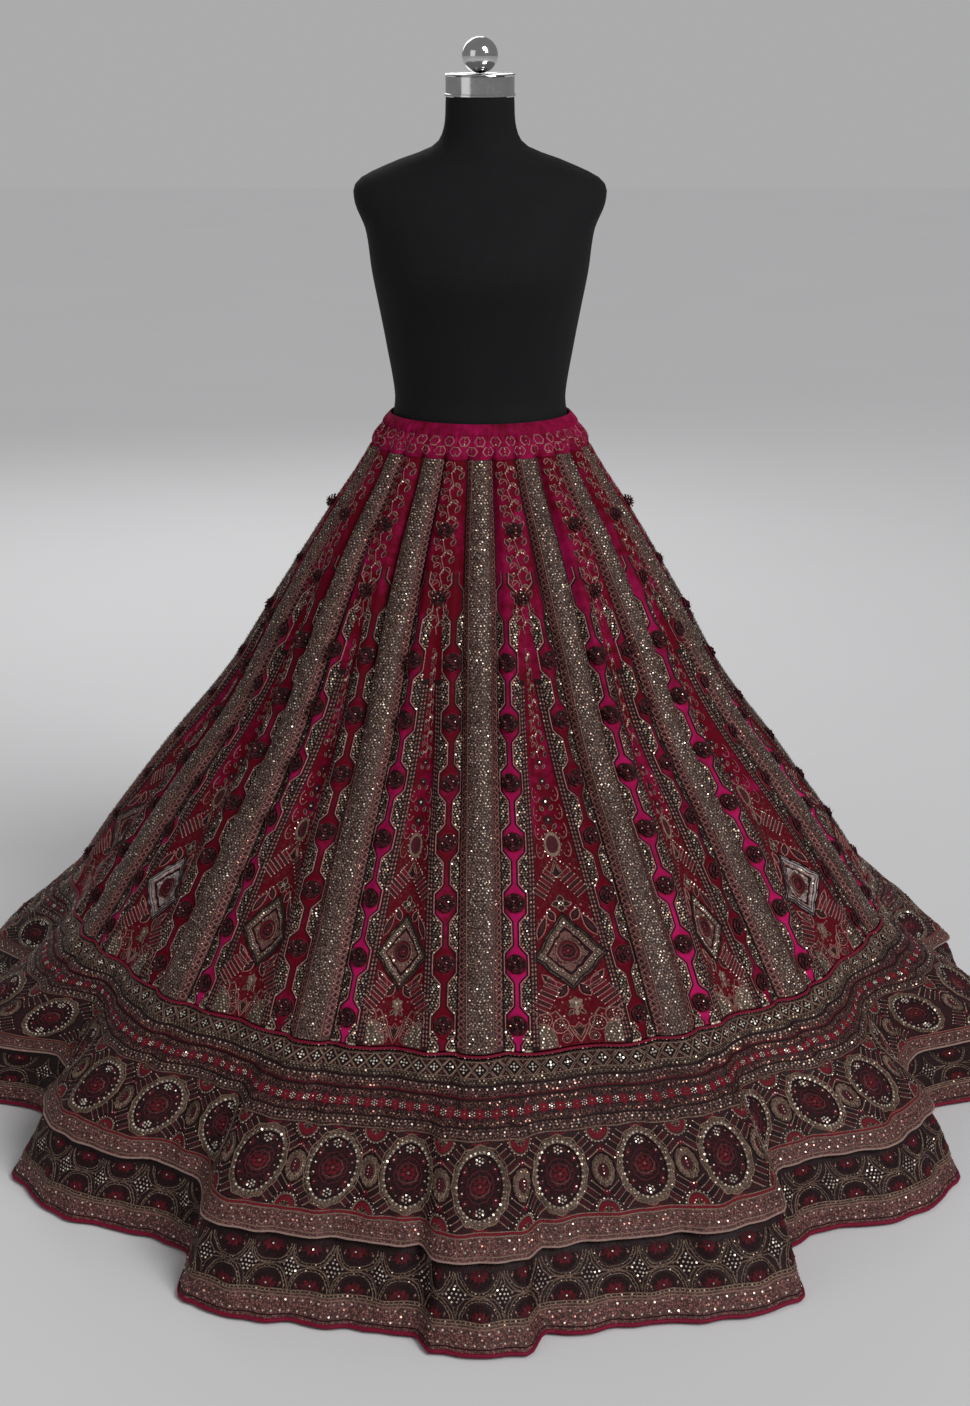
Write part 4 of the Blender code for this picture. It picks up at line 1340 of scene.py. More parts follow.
def rosette():
    """A rose of dark velvet ribbon that stands out of the cloth."""
    rose = Motif()
    rose.fill(WINE, oval(0.015, 0.015, 14), 0.0026, 0.15, 0.0002)
    layers = (
        (7, 0.0055, 0.0158, 0.0024, 0.0056, 0.004, 0.0), (6, 0.0035, 0.0118, 0.0046, 0.0082, 0.0066, 26.0),
    )
    layers += ((4, 0.001, 0.0072, 0.007, 0.01, 0.0088, 10.0),)
    for count, near, far, low, high, rim, start in layers:
        for j in range(count):
            middle = start + 360.0 * j / count
            spread = 360.0 / count * 0.62
            points, faces = [], []
            outs = (0.0, 0.45, 0.8, 1.0)
            lifts = (low, low + (high - low) * 0.7, high, rim)
            for out, lift in zip(outs, lifts):
                width = spread * (0.62 + 0.5 * out - 0.42 * out * out)
                for side in (-1.0, 0.0, 1.0):
                    radius = near + (far - near) * out * (1.0 - 0.16 * side * side)
                    angle = math.radians(middle + width * side)
                    raised = lift - 0.0012 * side * side + 0.0005 * side
                    points.append((radius * math.cos(angle), radius * math.sin(angle), raised))
            for i in range(3):
                faces += [(i * 3 + k, i * 3 + k + 1, i * 3 + k + 4, i * 3 + k + 3) for k in range(2)]
            # Petal tones step from dark to light round each ring: painted highlights that give the rose
            # relief
            rose.add(WINE, points, faces, 0.15 + 0.75 * ((j * 3) % count) / count)
    rose.fill(RED, oval(0.0026, 0.0026, 8), 0.0112, 0.15, 0.0076)
    rose.ring(RED, oval(0.0162, 0.0162, 16), 0.0022, 0.0016, 0.9)
    rose.dots(GOLD, oval(0.01, 0.01, 5, 20.0), 0.001, 0.0105, 0.4)
    rose.dots(PALE_GLINT, MIDDLE, 0.001, 0.0118, 0.5)
    return rose


def chain_link():
    """A velvet hexagon with its necks, outlined in cord; one repeat of the chain."""
    link = Motif()
    half = ROSETTE_PITCH / 2.0
    for side in (-1.0, 1.0):
        path = [(0.0036, -half), (0.0036, -0.025), (0.007, -0.0205), (0.0138, -0.013), (0.0142, 0.0)]
        path += [(0.0138, 0.013), (0.007, 0.0205), (0.0036, 0.025), (0.0036, half)]
        link.cord(DARK, np.array(path) * (side, 1.0), 0.0026, 0.0014, 0.35)
        rim = [(0.0052, -half), (0.0052, -0.0255), (0.0086, -0.0212), (0.0156, -0.0134)]
        rim += [(0.0158, 0.0), (0.0156, 0.0134), (0.0086, 0.0212), (0.0052, 0.0255), (0.0052, half)]
        link.cord(PINK, np.array(rim) * (side, 1.0), 0.0012, 0.001, 0.7)
    return link


def leaf_patch():
    """A fish-scale patch of sequins that fills the chain beside a neck."""
    patch = Motif()
    outline = np.array([(0.0066, -0.0135), (0.0168, -0.0268), (0.0176, -0.0268), (0.0176, 0.0268)])
    outline = np.concatenate((outline, [(0.0168, 0.0268), (0.0066, 0.0135)]))
    patch.fill(DARK, outline, 0.0006, 0.3, 0.0004, step=0.03)
    places = scales(outline, 0.004)
    patch.dots(GOLD, places[::2], 0.0013, 0.0012, 0.6)
    patch.dots(GOLD, places[1::4], 0.0013, 0.0012, 0.4)
    patch.dots(PALE_GLINT, places[3::4], 0.0013, 0.0012, 0.6)
    return patch


def small_flower(petals, radius, label, shade, core=GOLD):
    flower = Motif()
    for j in range(petals):
        flower.fill(
            label, leaf(radius, radius * 0.85, turn=360.0 * j / petals), 0.0012, shade + 0.2 * (j % 2),
        )
    flower.dots(core, MIDDLE, radius * 0.2, 0.0016, 0.8)
    return flower


def ruched_rose(radius):
    """A flat rose: rings of overlapping petals with a line of thread between them."""
    rose = Motif()
    outer, core = WINE, RED
    layers = (
        (9, 1.0, 0.0012, 0.0, 0.75, outer), (8, 0.8, 0.0017, 20.0, 0.15, outer), (
            7, 0.66, 0.0022, 0.0, 0.45, core,
        ),
        (5, 0.46, 0.0027, 5.0, 0.1, outer), (4, 0.28, 0.0032, 0.0, 0.6, core),
    )
    for count, size, rise, start, shade, label in layers:
        for j in range(count):
            outline = leaf(radius * size, radius * size * 0.85, turn=start + 360.0 * j / count, point=1.4)
            rose.fill(label, outline, rise, shade + 0.15 * (j % 2), rise * 0.5)
    rim = oval(radius * 0.8, radius * 0.8, 16)
    rose.ring(PINK, wavy(rim, 0.06), 0.0009, 0.0022, 0.0)
    rose.fill(PINK, oval(radius * 0.12, radius * 0.12, 8), 0.0038, 0.2, 0.0022)
    return rose


def dot_cluster(pitch, count=7):
    places = list(MIDDLE) + [tuple(p) for p in oval(pitch, pitch, count - 1, 30.0)]
    cluster = Motif()
    cluster.dots(PALE_GLINT, places, pitch * 0.34, 0.0008, 0.7)
    return cluster


def ladder(length, width, bars, label=PINK, thick=0.0012, cores=RED):
    """Dark and red bars side by side between lines of cord, with beads along both ends."""
    made = Motif()
    step = length / bars
    for j in range(bars + 1):
        y = -length / 2.0 + step * j
        made.cord(label, [(-width / 2.0, y), (width / 2.0, y)], thick, 0.0012, 0.5)
        if j < bars:
            core = WINE if j % 2 else cores
            corners = [(-width / 2.0, y), (width / 2.0, y), (width / 2.0, y + step), (-width / 2.0, y + step)]
            made.fill(core, corners, 0.0007, 0.4, domed=False)
        for side in (-1.0, 1.0):
            made.dots(PALE_GLINT, [(side * (width / 2.0 + 0.0012), y)], 0.001, 0.001, 0.5)
    return made


def outlined_leaf(length, width, label=PINK):
    """A leaf loop of cord round a dark core, centred on itself."""
    made = Motif()
    made.fill(DARK, leaf(length * 0.84, width * 0.8, 0.0, length * 0.42), 0.0006, 0.2, domed=False)
    made.fill(WINE, leaf(length * 0.6, width * 0.5, 0.0, length * 0.3, count=3), 0.0011, 0.5, 0.0007)
    made.ring(label, leaf(length, width, 0.0, length * 0.5, count=5), 0.0015, 0.0012, 0.6)
    return made


def diamond_frame(silver):
    """The large diamond of the godet: a broad band of stitches and sequins round a flower."""
    made = Motif()
    side = [(0.0, -0.0465), (0.0095, -0.0375), (0.012, -0.032), (0.02, -0.027)]
    side += [(0.0245, -0.019), (0.031, -0.0105), (0.0395, 0.0)]
    outline = round_again(down_again(side))
    made.fill(DARK, outline, 0.0004, 0.2, domed=False)
    band = SILVER if silver else TAUPE
    made.band(band, outline * 0.99, 0.68, 0.0016, 0.55 if silver else 0.0)
    made.ring(DARK, wavy(outline, 0.035), 0.0014, 0.0018, 0.5)
    made.ring(PINK, outline * 0.67, 0.0016, 0.0014, 0.5)
    for size in (0.9, 0.79) if silver else (0.91,):
        made.ring(DARK, wavy(outline * size, 0.035), 0.0014, 0.0021, 0.2)
    for size, label in ((0.73, PALE_GLINT),) if silver else ((0.85, GOLD), (0.74, PALE_GLINT)):
        places = []
        for a, b in zip(outline * size, np.roll(outline * size, -1, 0)):
            count = max(1, round(np.linalg.norm(b - a) / 0.0045))
            places += [tuple(a + (b - a) * t / count) for t in range(count)]
        made.dots(label, places, 0.0011, 0.0018, 0.4)
    made.fill(SILVER if silver else PINK, outline * 0.64, 0.0008, 0.6 if silver else 0.0)
    made.fill(RED, oval(0.018, 0.0195, 16), 0.0014, 0.25)
    made.dots(GOLD, oval(0.016, 0.0172, 18), 0.0014, 0.0018, 0.4)
    made.ring(TAUPE, oval(0.0132, 0.0142, 16), 0.0014, 0.0019, 0.4)
    made.fill(WINE, oval(0.0122, 0.013, 12), 0.0018, 0.1)
    made.take(ruched_rose(0.011))
    return made


def small_round():
    """A small round of beads with a dark eye."""
    made = Motif()
    made.fill(RED, oval(0.0088, 0.0088, 10), 0.0006, 0.2)
    made.ring(PINK, oval(0.0095, 0.0095, 14), 0.0013, 0.001, 0.5)
    made.dots(GOLD, oval(0.0058, 0.0058, 8), 0.001, 0.001, 0.5)
    made.dots(PALE_GLINT, oval(0.002, 0.002, 3), 0.001, 0.001, 0.4)
    return made


def corner_fan():
    """A quarter round filled with rows of sequins, at the right of its corner."""
    fan = Motif()
    outline = np.concatenate((arc(0.025, 0.033, 180.0, 270.0, 9), MIDDLE))
    fan.fill(TAUPE, outline, 0.0006, 0.0, domed=False)
    fan.cord(PINK, arc(0.0252, 0.0334, 180.0, 270.0, 10), 0.0016, 0.0013, 0.4)
    places = scales(outline * 0.94, 0.0044)
    fan.dots(PALE_GLINT, places[::2], 0.0013, 0.0012, 0.5)
    fan.dots(GOLD, places[1::2], 0.0013, 0.0012, 0.4)
    return fan


def godet_top():
    """Small dark flowers, the oval and the stepped triangle; y 0 is the oval's middle."""
    made = Motif()
    for y, size in ((-0.112, 0.0055), (-0.086, 0.0065), (-0.058, 0.0075), (-0.033, 0.008)):
        flower = small_flower(5, size, WINE, 0.15, PALE_GLINT)
        made.take(flower, 0.0, y)
        made.pair(outlined_leaf(size * 1.15, size * 0.5, TAUPE), size * 0.9, y + size * 1.1, 35.0)
    made.fill(WINE, oval(0.0115, 0.017, 16), 0.0008, 0.6)
    made.band(TAUPE, oval(0.0115, 0.0172, 20), 0.66, 0.0015, 0.5)
    made.fill(RED, oval(0.0045, 0.008, 10), 0.0014, 0.25)
    made.dots(PALE_GLINT, oval(0.0128, 0.019, 14), 0.001, 0.001, 0.5)
    triangle = np.array([(0.0, 0.0215), (0.0105, 0.044), (-0.0105, 0.044)])
    made.fill(DARK, triangle, 0.0008, 0.3)
    made.ring(TAUPE, triangle, 0.0018, 0.0013, 0.6)
    made.cord(PINK, [(-0.005, 0.0375), (0.0, 0.027), (0.005, 0.0375)], 0.0013, 0.0012, 0.5)
    made.pair(ladder(0.034, 0.018, 6), 0.02, 0.05, -42.0)
    for flip in (-1.0, 1.0):
        for y in (-0.07, -0.045, -0.02, 0.005):
            reach = 0.013 + 0.08 * (y + 0.07)
            made.cord(
                PINK, moved(arc(0.006, 0.011, -60.0, 150.0, 6, reach, y), flip=flip), 0.0013, 0.0011, 0.4,
            )
            made.dots(
                GOLD, moved([(reach, y - 0.003), (reach + 0.002, y + 0.003)], flip=flip), 0.0012, 0.001,
                0.5,
            )
    rays = [(0.004 + 0.0036 * j, 0.0205 + 0.003 * j) for j in range(5)]
    made.dots(PALE_GLINT, both(rays), 0.001, 0.0009, 0.5)
    return made


def godet_foot(silver):
    """The diamond with its flowers, loops, ladders and rounds; y 0 is the diamond's middle."""
    made = Motif()
    bloom = Motif()
    for j in range(4):
        place = moved([(0.0, -0.0062)], turn=90.0 * j)[0]
        bloom.take(outlined_leaf(0.01, 0.0078, TAUPE), *place, 90.0 * j)
    bloom.dots(PALE_GLINT, oval(0.0022, 0.0022, 4), 0.0011, 0.0016, 0.8)
    made.take(bloom, 0.0, -0.063)
    line = [(0.0105 + 0.0042 * j, -0.062 + 0.0036 * j) for j in range(6)]
    made.dots(PALE_GLINT, both(line), 0.0011, 0.001, 0.6)
    made.pair(outlined_leaf(0.02, 0.01), 0.014, -0.05, 26.0)
    made.pair(outlined_leaf(0.032, 0.0105), 0.0275, -0.037, -26.0)
    made.take(diamond_frame(silver), scale=1.07)
    made.pair(outlined_leaf(0.029, 0.01), 0.027, 0.034, 36.0)
    made.pair(outlined_leaf(0.02, 0.0125), 0.012, 0.05, -34.0)
    made.pair(ladder(0.044, 0.02, 8), 0.033, 0.0535, -38.0)
    hook = [(0.0395, 0.069), (0.03, 0.076), (0.024, 0.074), (0.019, 0.082), (0.016, 0.094), (0.008, 0.11)]
    for flip in (-1.0, 1.0):
        made.cord(TAUPE, moved(hook, flip=flip), 0.0018, 0.0012, 0.5)
    khaki = small_flower(6, 0.009, TAUPE, 0.35, PALE_GLINT)
    khaki.fill(TAUPE, leaf(0.009, 0.0052, 0.0, 0.016), 0.001, 0.5)
    khaki.pair(outlined_leaf(0.009, 0.0044, TAUPE), 0.0064, 0.011, 140.0)
    made.take(khaki, 0.0, 0.068)
    for x, y in ((0.0205, 0.094), (0.039, 0.083), (0.015, 0.111)):
        for flip in (-1.0, 1.0):
            made.take(small_round(), x * flip, y, scale=1.0 if x > 0.016 else 0.6)
    tulip = round_again([(0.0, 0.015), (-0.006, 0.005), (-0.0115, -0.008), (-0.0045, -0.005), (0.0, -0.0105)])
    for size, label in ((1.0, PINK), (0.62, TAUPE)):
        made.ring(label, tulip * size + (0.0, 0.103), 0.0016, 0.0013, 0.6)
    made.fill(WINE, tulip[[0, 1, 2, 6, 7]] * 0.5 + (0.0, 0.103), 0.0009, 0.3)
    flank = [(0.015 + 0.0052 * j, 0.083 + 0.0016 * j) for j in range(5)]
    made.dots(GOLD, both(flank), 0.0013, 0.001, 0.5)
    return made


def make_gore_needlework(fold, cloth, motifs):
    """The chains of rosettes, the beaded trims and the godet's motifs of one gore."""
    work = Needlework(f"gore_{fold:02d}_needlework", 300 + fold)
    end = cloth.fall_length
    middle = np.zeros_like
    room = lambda v, s: np.minimum(CHAIN_WIDTH, cloth.half(v, s) * 0.96)
    within = lambda v, s, extra: np.maximum(cloth.half(v, s) - CHAIN_WIDTH - extra, 0.0)
    rosettes = np.arange(FIRST_ROSETTE_FALL, LAST_ROSETTE_FALL + 0.001, ROSETTE_PITCH)
    links = np.concatenate(([FIRST_ROSETTE_FALL - ROSETTE_PITCH], rosettes))
    necks = np.concatenate(
        (links[1:] - ROSETTE_PITCH / 2.0, [LAST_ROSETTE_FALL + ROSETTE_PITCH / 2.0 - 0.012]),
    )
    for side in (-1.0, 1.0):
        chain = lambda v, s=side: s * (cloth.half(v, s) - room(v, s) / 2.0)
        work.lay(motifs["link"], cloth, chain, links, wide=room(links, side) / CHAIN_WIDTH)
        size = np.clip(room(rosettes, side) / CHAIN_WIDTH, 0.7, 1.0) * ROSETTE_SIZE
        work.lay(motifs["rosette"], cloth, chain, rosettes, wide=size, long=size)
        for patch in ("patch", "patch_mirrored"):
            work.lay(motifs[patch], cloth, chain, necks, wide=room(necks, side) / CHAIN_WIDTH)
        edge = lambda v, s=side: s * (cloth.half(v, s) - 0.0012)
        # Dark edge cord: partly the gore's real outline, partly a painted shadow line along the groove beside
        # it
        work.long_cord(cloth, edge, 0.0, end, DARK, 0.0028, 0.0016, 0.2)
        for extra, label, width, rise in TRIM_CORDS:
            line = lambda v, s=side, e=extra: s * within(v, s, e)
            work.long_cord(cloth, line, TRIM_START, end, label, width, rise, 0.5)
        trim = lambda v, s=side: s * within(v, s, TRIM_WIDTH / 2.0 + 0.0004)
        work.lay(motifs["trim"], cloth, trim, np.arange(TRIM_START + 0.01, end - 0.002, 0.0058))
        corner = lambda v, s=side: s * within(v, s, TRIM_WIDTH + 0.0008)
        work.lay(motifs["fan_right" if side > 0.0 else "fan_left"], cloth, corner, end - 0.0012)
    inner = float(within(DIAMOND_FALL, 1.0, TRIM_WIDTH) + within(DIAMOND_FALL, -1.0, TRIM_WIDTH)) / 2.0
    fit = inner / 0.0382
    foot = "foot_silver" if fold in SILVER_GORES else "foot"
    work.lay(motifs[foot], cloth, middle, DIAMOND_FALL, wide=fit)
    work.lay(motifs["top"], cloth, middle, OVAL_FALL, wide=min(fit, 1.0))
    falls = np.arange(0.016, 0.235, 0.024)
    work.lay(motifs["vine"], cloth, middle, falls, wide=np.clip(cloth.half(falls) / 0.02, 0.6, 1.0))
    falls = np.arange(0.275, 0.405, 0.021)
    size = np.clip(within(falls, 1.0, TRIM_WIDTH) / 0.02, 0.3, 0.8)
    work.lay(motifs["vine"], cloth, middle, falls, wide=size, long=0.85)
    upper = np.array([0.102, 0.196])
    size = np.clip(cloth.half(upper) / 0.032, 0.45, 0.7)
    work.lay(motifs["rosette"], cloth, middle, upper, wide=size, long=size)
    return work.piece()


def gore_motifs():
    vine = Motif()
    for flip in (-1.0, 1.0):
        curl = np.concatenate((arc(0.0052, 0.006, 150.0, 380.0, 8, 0.0045, -0.004), [(0.002, -0.0075)]))
        vine.cord(PINK, moved(curl, 0.002 * flip, 0.003 * flip, flip=flip), 0.0013, 0.001, 0.4)
        vine.fill(WINE, leaf(0.01, 0.0048, 0.0095 * flip, 0.011, 25.0 * flip), 0.001, 0.5)
        vine.ring(PINK, leaf(0.0115, 0.0062, 0.0095 * flip, 0.012, 25.0 * flip), 0.0011, 0.0011, 0.4)
        vine.dots(GOLD, oval(0.0022, 0.0022, 5, x=0.008 * flip, y=-0.0035 * flip), 0.001, 0.001, 0.5)
    vine.cord(PINK, [(0.0, -0.013), (0.002, -0.005), (-0.002, 0.004), (0.0, 0.013)], 0.0012, 0.001, 0.3)
    vine.dots(PALE_GLINT, [(0.0, 0.0), (0.0022, -0.003), (-0.002, 0.003)], 0.0011, 0.001, 0.5)
    trim = Motif()
    for x in (-0.0021, 0.0021):
        trim.fill(PINK, oval(0.0017, 0.0023, 5, x=x), 0.001, 0.4)
    trim.dots(GOLD, [(-0.0021, 0.0), (0.0021, 0.0)], 0.0008, 0.0012, 0.2)
    patch, fan = leaf_patch(), corner_fan()
    return {
        "rosette": rosette(), "link": chain_link(), "trim": trim, "vine": vine, "top": godet_top(),
        "patch": patch, "patch_mirrored": Motif().take(patch, flip=-1.0), "fan_right": fan,
        "fan_left": Motif().take(fan, flip=-1.0), "foot": godet_foot(False), "foot_silver": godet_foot(True),
    }


def make_gores():
    motifs = gore_motifs()
    for fold in range(FOLD_COUNT):
        cloth = gore_cloth(fold)
        name = f"gore_{fold:02d}"
        worked = (CHAIN_WIDTH + TRIM_WIDTH / 2.0, WORKED_FROM)
        item = panel_shell(name, cloth, "gore_velvet", worked)
        thread = make_gore_needlework(fold, cloth, motifs)
        declare_sheet(cloth.points, False)


def ring_shell(node, ring, top, foot, label):
    """A band of a tier between two heights."""
    high, low = ring.fall_at(top), ring.fall_at(foot)
    rows = max(2, round((low - high) / ring.ROW))
    falls = np.linspace(high, low, rows + 1)
    columns = np.arange(ring.columns, dtype=float)
    row = ring.row_of(falls)[:, None] + np.zeros_like(columns)
    column = columns[None, :] + np.zeros_like(falls)[:, None]
    points, normals = ring.lifted(row, column, 0.0)
    across = columns[None, :] * 0.0085
    thickness = settings().cloth_thickness * SHELL_SHARE
    return shell(node, points, normals, thickness, True, across, falls, label), points


def ring_edge(node, ring, height, radius, label):
    """A piping round a tier at one height."""
    places = np.arange(ring.columns) / ring.per_fold
    path, normals = ring.at(places, 0.0, ring.fall_at(height), 0.0002)
    return tube(node, path, normals, radius, label)


def dot_row(work, ring, fall, per_fold, label, radius, shade, shift=0.0):
    work.repeat(ring, Motif().dots(label, MIDDLE, radius, 0.001, shade), per_fold, fall, shift)


def cell_diamond():
    cell = Motif()
    side = np.array([(0.0, -0.0105), (0.0092, 0.0), (0.0, 0.0105), (-0.0092, 0.0)])
    cell.fill(DARK, side, 0.0006, 0.1)
    cell.ring(TAUPE, side * 1.06, 0.0016, 0.0012, 0.6)
    cell.dots(
        PALE_GLINT, [(0.0, 0.0), (0.0, -0.0038), (0.0, 0.0038), (0.0036, 0.0), (-0.0036, 0.0)], 0.0014, 0.0012,
        0.8,
    )
    return cell


def cell_cross():
    cell = Motif()
    for y in (-0.0108, 0.0108):
        cell.fill(WINE, [(-0.0075, y), (0.0, y * 0.3), (0.0075, y)], 0.0007, 0.2)
        cell.cord(TAUPE, [(-0.0085, y), (0.0, y * 0.18), (0.0085, y)], 0.0015, 0.0012, 0.5)
    cell.dots(GOLD, [(0.0, -0.0082), (0.0, 0.0082)], 0.0011, 0.0012, 0.5)
    return cell


def star_flower():
    star = Motif()
    for j in range(6):
        star.fill(RED, leaf(0.0092, 0.0044, turn=60.0 * j), 0.0012, 0.75)
    star.dots(GOLD, [(0.0, 0.0), (0.0, -0.012), (0.0, 0.012)], 0.0011, 0.0016, 0.6)
    star.dots(ROSE, [(-0.005, -0.013), (0.005, -0.013), (-0.005, 0.013), (0.005, 0.013)], 0.0012, 0.0009, 0.5)
    return star


def medallion():
    """An oval ring of cord and sequins with a rose in its middle."""
    made = Motif()
    outline = oval(0.036, 0.05, 48)
    made.fill(WINE, outline[::2] * 0.8, 0.0006, 0.15)
    made.band(TAUPE, wavy(outline * 0.98, 0.03, math.pi / 2.0), 0.8, 0.0014, 0.15)
    made.ring(TAUPE, wavy(outline, 0.03, math.pi / 2.0), 0.0018, 0.0018, 0.5)
    made.ring(DARK, outline[::2] * 0.775, 0.0014, 0.0014, 0.3)
    made.dots(PALE_GLINT, oval(0.0294, 0.0416, 32), 0.0016, 0.0018, 0.5)
    made.dots(GOLD, oval(0.0326, 0.0456, 36), 0.001, 0.0017, 0.6)
    made.dots(PALE_GLINT, oval(0.0232, 0.0335, 16, 11.0), 0.0012, 0.0018, 0.35)
    made.dots(GOLD, oval(0.035, 0.0487, 40, 3.0), 0.0009, 0.0015, 0.3)
    for j in range(12):
        place = oval(0.0225, 0.03, 12, 15.0)[j]
        petal = moved(leaf(0.01, 0.007), place[0] * 0.92, place[1] * 0.92, 30.0 * j + 105.0)
        made.fill(WINE, petal, 0.0013, 0.25 + 0.4 * (j % 2))
    made.ring(WINE, wavy(oval(0.0172, 0.02, 24), 0.03), 0.002, 0.0018, 0.9)
    made.take(ruched_rose(0.0156))
    for x, y in ((0.0, -0.0312), (0.0, 0.0312)):
        made.take(dot_cluster(0.0044), x, y)
    for sx in (-1.0, 1.0):
        for y in (-0.0185, 0.0185):
            made.take(small_flower(5, 0.0048, RED, 0.2, PALE_GLINT), sx * 0.019, y)
    return made


def shell_medallion():
    """The small round of rays and stitches between two medallions."""
    small = Motif()
    outline = oval(0.014, 0.0205, 24)
    small.fill(WINE, outline * 0.5, 0.001, 0.5)
    small.band(TAUPE, wavy(outline, 0.04), 0.45, 0.0014, 0.2)
    for a, b in zip(outline[::2] * 0.5, outline[::2] * 0.94):
        small.cord(TAUPE, [a, (a + b) / 2.0, b], 0.0012, 0.0021, 0.5)
    small.ring(DARK, outline * 1.1, 0.0013, 0.0011, 0.3)
    small.ring(TAUPE, outline * 0.72, 0.0012, 0.0018, 0.9)
    small.fill(RED, oval(0.0034, 0.007, 8), 0.0018, 0.5)
    small.dots(PALE_GLINT, [(0.0, 0.0), (0.0, -0.0045), (0.0, 0.0045)], 0.001, 0.0022, 0.6)
    small.dots(GOLD, oval(0.0112, 0.0168, 14), 0.001, 0.0018, 0.6)
    return small


def half_fan():
    """A half round of red petals that hangs from the edge of the medallion zone."""
    fan = Motif()
    fan.fill(RED, np.concatenate((arc(0.0125, 0.014, 0.0, 180.0, 10), MIDDLE)), 0.0008, 0.6)
    for j in range(5):
        label = WINE if j % 2 else TAUPE
        fan.fill(label, leaf(0.0092, 0.0056, turn=108.0 + 36.0 * j), 0.0014, 0.2)
    fan.cord(TAUPE, arc(0.0142, 0.0165, 0.0, 180.0, 12), 0.0022, 0.0013, 0.4)
    fan.dots(PALE_GLINT, arc(0.0162, 0.0178, 8.0, 172.0, 10), 0.001, 0.001, 0.5)
    fan.dots(GOLD, arc(0.006, 0.0066, 20.0, 160.0, 4), 0.001, 0.0018, 0.6)
    return fan


def make_border():
    ring = border_cloth()
    piping_height = (PANEL_FOOT + PIPING_FOOT) / 2.0
    ring_edge("seam_piping", ring, piping_height, 0.0022, "red_piping")
    tier, tier_points = ring_shell(
        "upper_tier", ring, PIPING_FOOT, UPPER_TIER_FOOT, "border_ground"
    )
    free_edge = TIER_EDGE + 0.0016
    ribbon, ribbon_points = ring_shell(
        "tier_ribbon", ring, UPPER_TIER_FOOT, free_edge, "ribbon_ground"
    )
    edge = ring_edge("tier_piping", ring, free_edge, 0.0015, "light_piping")

    fall = ring.fall_at
    bands = Needlework("border_bands_needlework", 21)
    lines = (
        (0.2553, TAUPE), (0.2418, TAUPE), (0.2353, DARK), (0.2256, RED),
        (0.224, DARK), (0.2012, DARK), (0.1912, TAUPE),
    )
    for height, label in lines:
        bands.ring_cord(ring, fall(height), label, 0.0016, 0.0011, 0.4)
    first = (fall(0.2553) + fall(0.2418)) / 2.0
    bands.repeat(ring, cell_diamond(), 12, first)
    bands.repeat(ring, cell_cross(), 12, first, 0.5)
    rows = (
        (0.2585, 52, GOLD, 0.0), (0.24, 52, GOLD, 0.0), (0.2377, 52, GOLD, 0.5),
        (0.2325, 30, PALE_GLINT, 0.0), (0.23, 54, ROSE, 0.5), (0.2275, 54, ROSE, 0.0),
        (0.1992, 54, GOLD, 0.0), (0.1966, 34, PALE_GLINT, 0.5), (0.1938, 54, GOLD, 0.5),
    )
    for height, per_fold, label, shift in rows:
        dot_row(bands, ring, fall(height), per_fold, label, 0.0013, 0.5, shift)
    star_fall = (fall(0.224) + fall(0.2012)) / 2.0
    bands.repeat(ring, star_flower(), 14, star_fall)
    bands.repeat(ring, dot_cluster(0.0033), 14, star_fall, 0.5)
    for height, shift in ((0.2215, 0.0), (0.2195, 0.5), (0.205, 0.5), (0.2032, 0.0)):
        dot_row(bands, ring, fall(height), 46, ROSE, 0.0012, 0.5, shift)
    band_work = bands.piece()

    zone = Needlework("medallion_needlework", 22)
    top, foot = fall(0.19), fall(0.12)
    middle = (top + foot) / 2.0
    fan = half_fan()
    zone.repeat(ring, medallion(), 3, middle)
    zone.repeat(ring, shell_medallion(), 3, middle, 0.5)
    zone.repeat(ring, fan, 3, top + 0.0004, 0.5)
    zone.repeat(ring, Motif().take(fan, turn=180.0), 3, foot - 0.0006, 0.5)
    for side in (-1.0, 1.0):
        for end, turn in ((top + 0.0215, 40.0), (foot - 0.0215, -40.0)):
            bars = Motif().take(
                ladder(0.032, 0.015, 4, TAUPE, 0.0021, DARK), x=side * 0.0205, turn=side * turn,
            )
            zone.repeat(ring, bars, 3, end, 0.5)
    sprig = small_flower(4, 0.0052, RED, 0.4, PALE_GLINT)
    for end in (top + 0.027, foot - 0.027):
        zone.repeat(ring, sprig, 3, end, 0.5)
    for end in (top + 0.0018, foot - 0.0018):
        flat_bar = Motif()
        flat_bar.fill(
            RED, [(-0.011, -0.001), (0.011, -0.001), (0.0075, 0.001), (-0.0075, 0.001)], 0.0009, 0.7,
        )
        zone.repeat(ring, flat_bar, 3, end)
    zone.ring_cord(ring, foot, TAUPE, 0.0018, 0.0012, 0.5)
    zone.ring_cord(ring, fall(0.1188), RED, 0.0032, 0.0014, 0.8)
    zone_work = zone.piece()

    band = Needlework("tier_ribbon_needlework", 23)
    for height, label in ((0.1168, TAUPE), (0.1015, TAUPE)):
        band.ring_cord(ring, fall(height), label, 0.0016, 0.0011, 0.6)
    rows = ((0.113, 30, PALE_GLINT, 0.0), (0.1097, 56, ROSE, 0.5), (0.1058, 30, PALE_GLINT, 0.5))
    for height, per_fold, label, shift in rows:
        dot_row(band, ring, fall(height), per_fold, label, 0.0013, 0.55, shift)
    ribbon_work = band.piece()
    declare_sheet(tier_points, True)
    declare_sheet(ribbon_points, True)


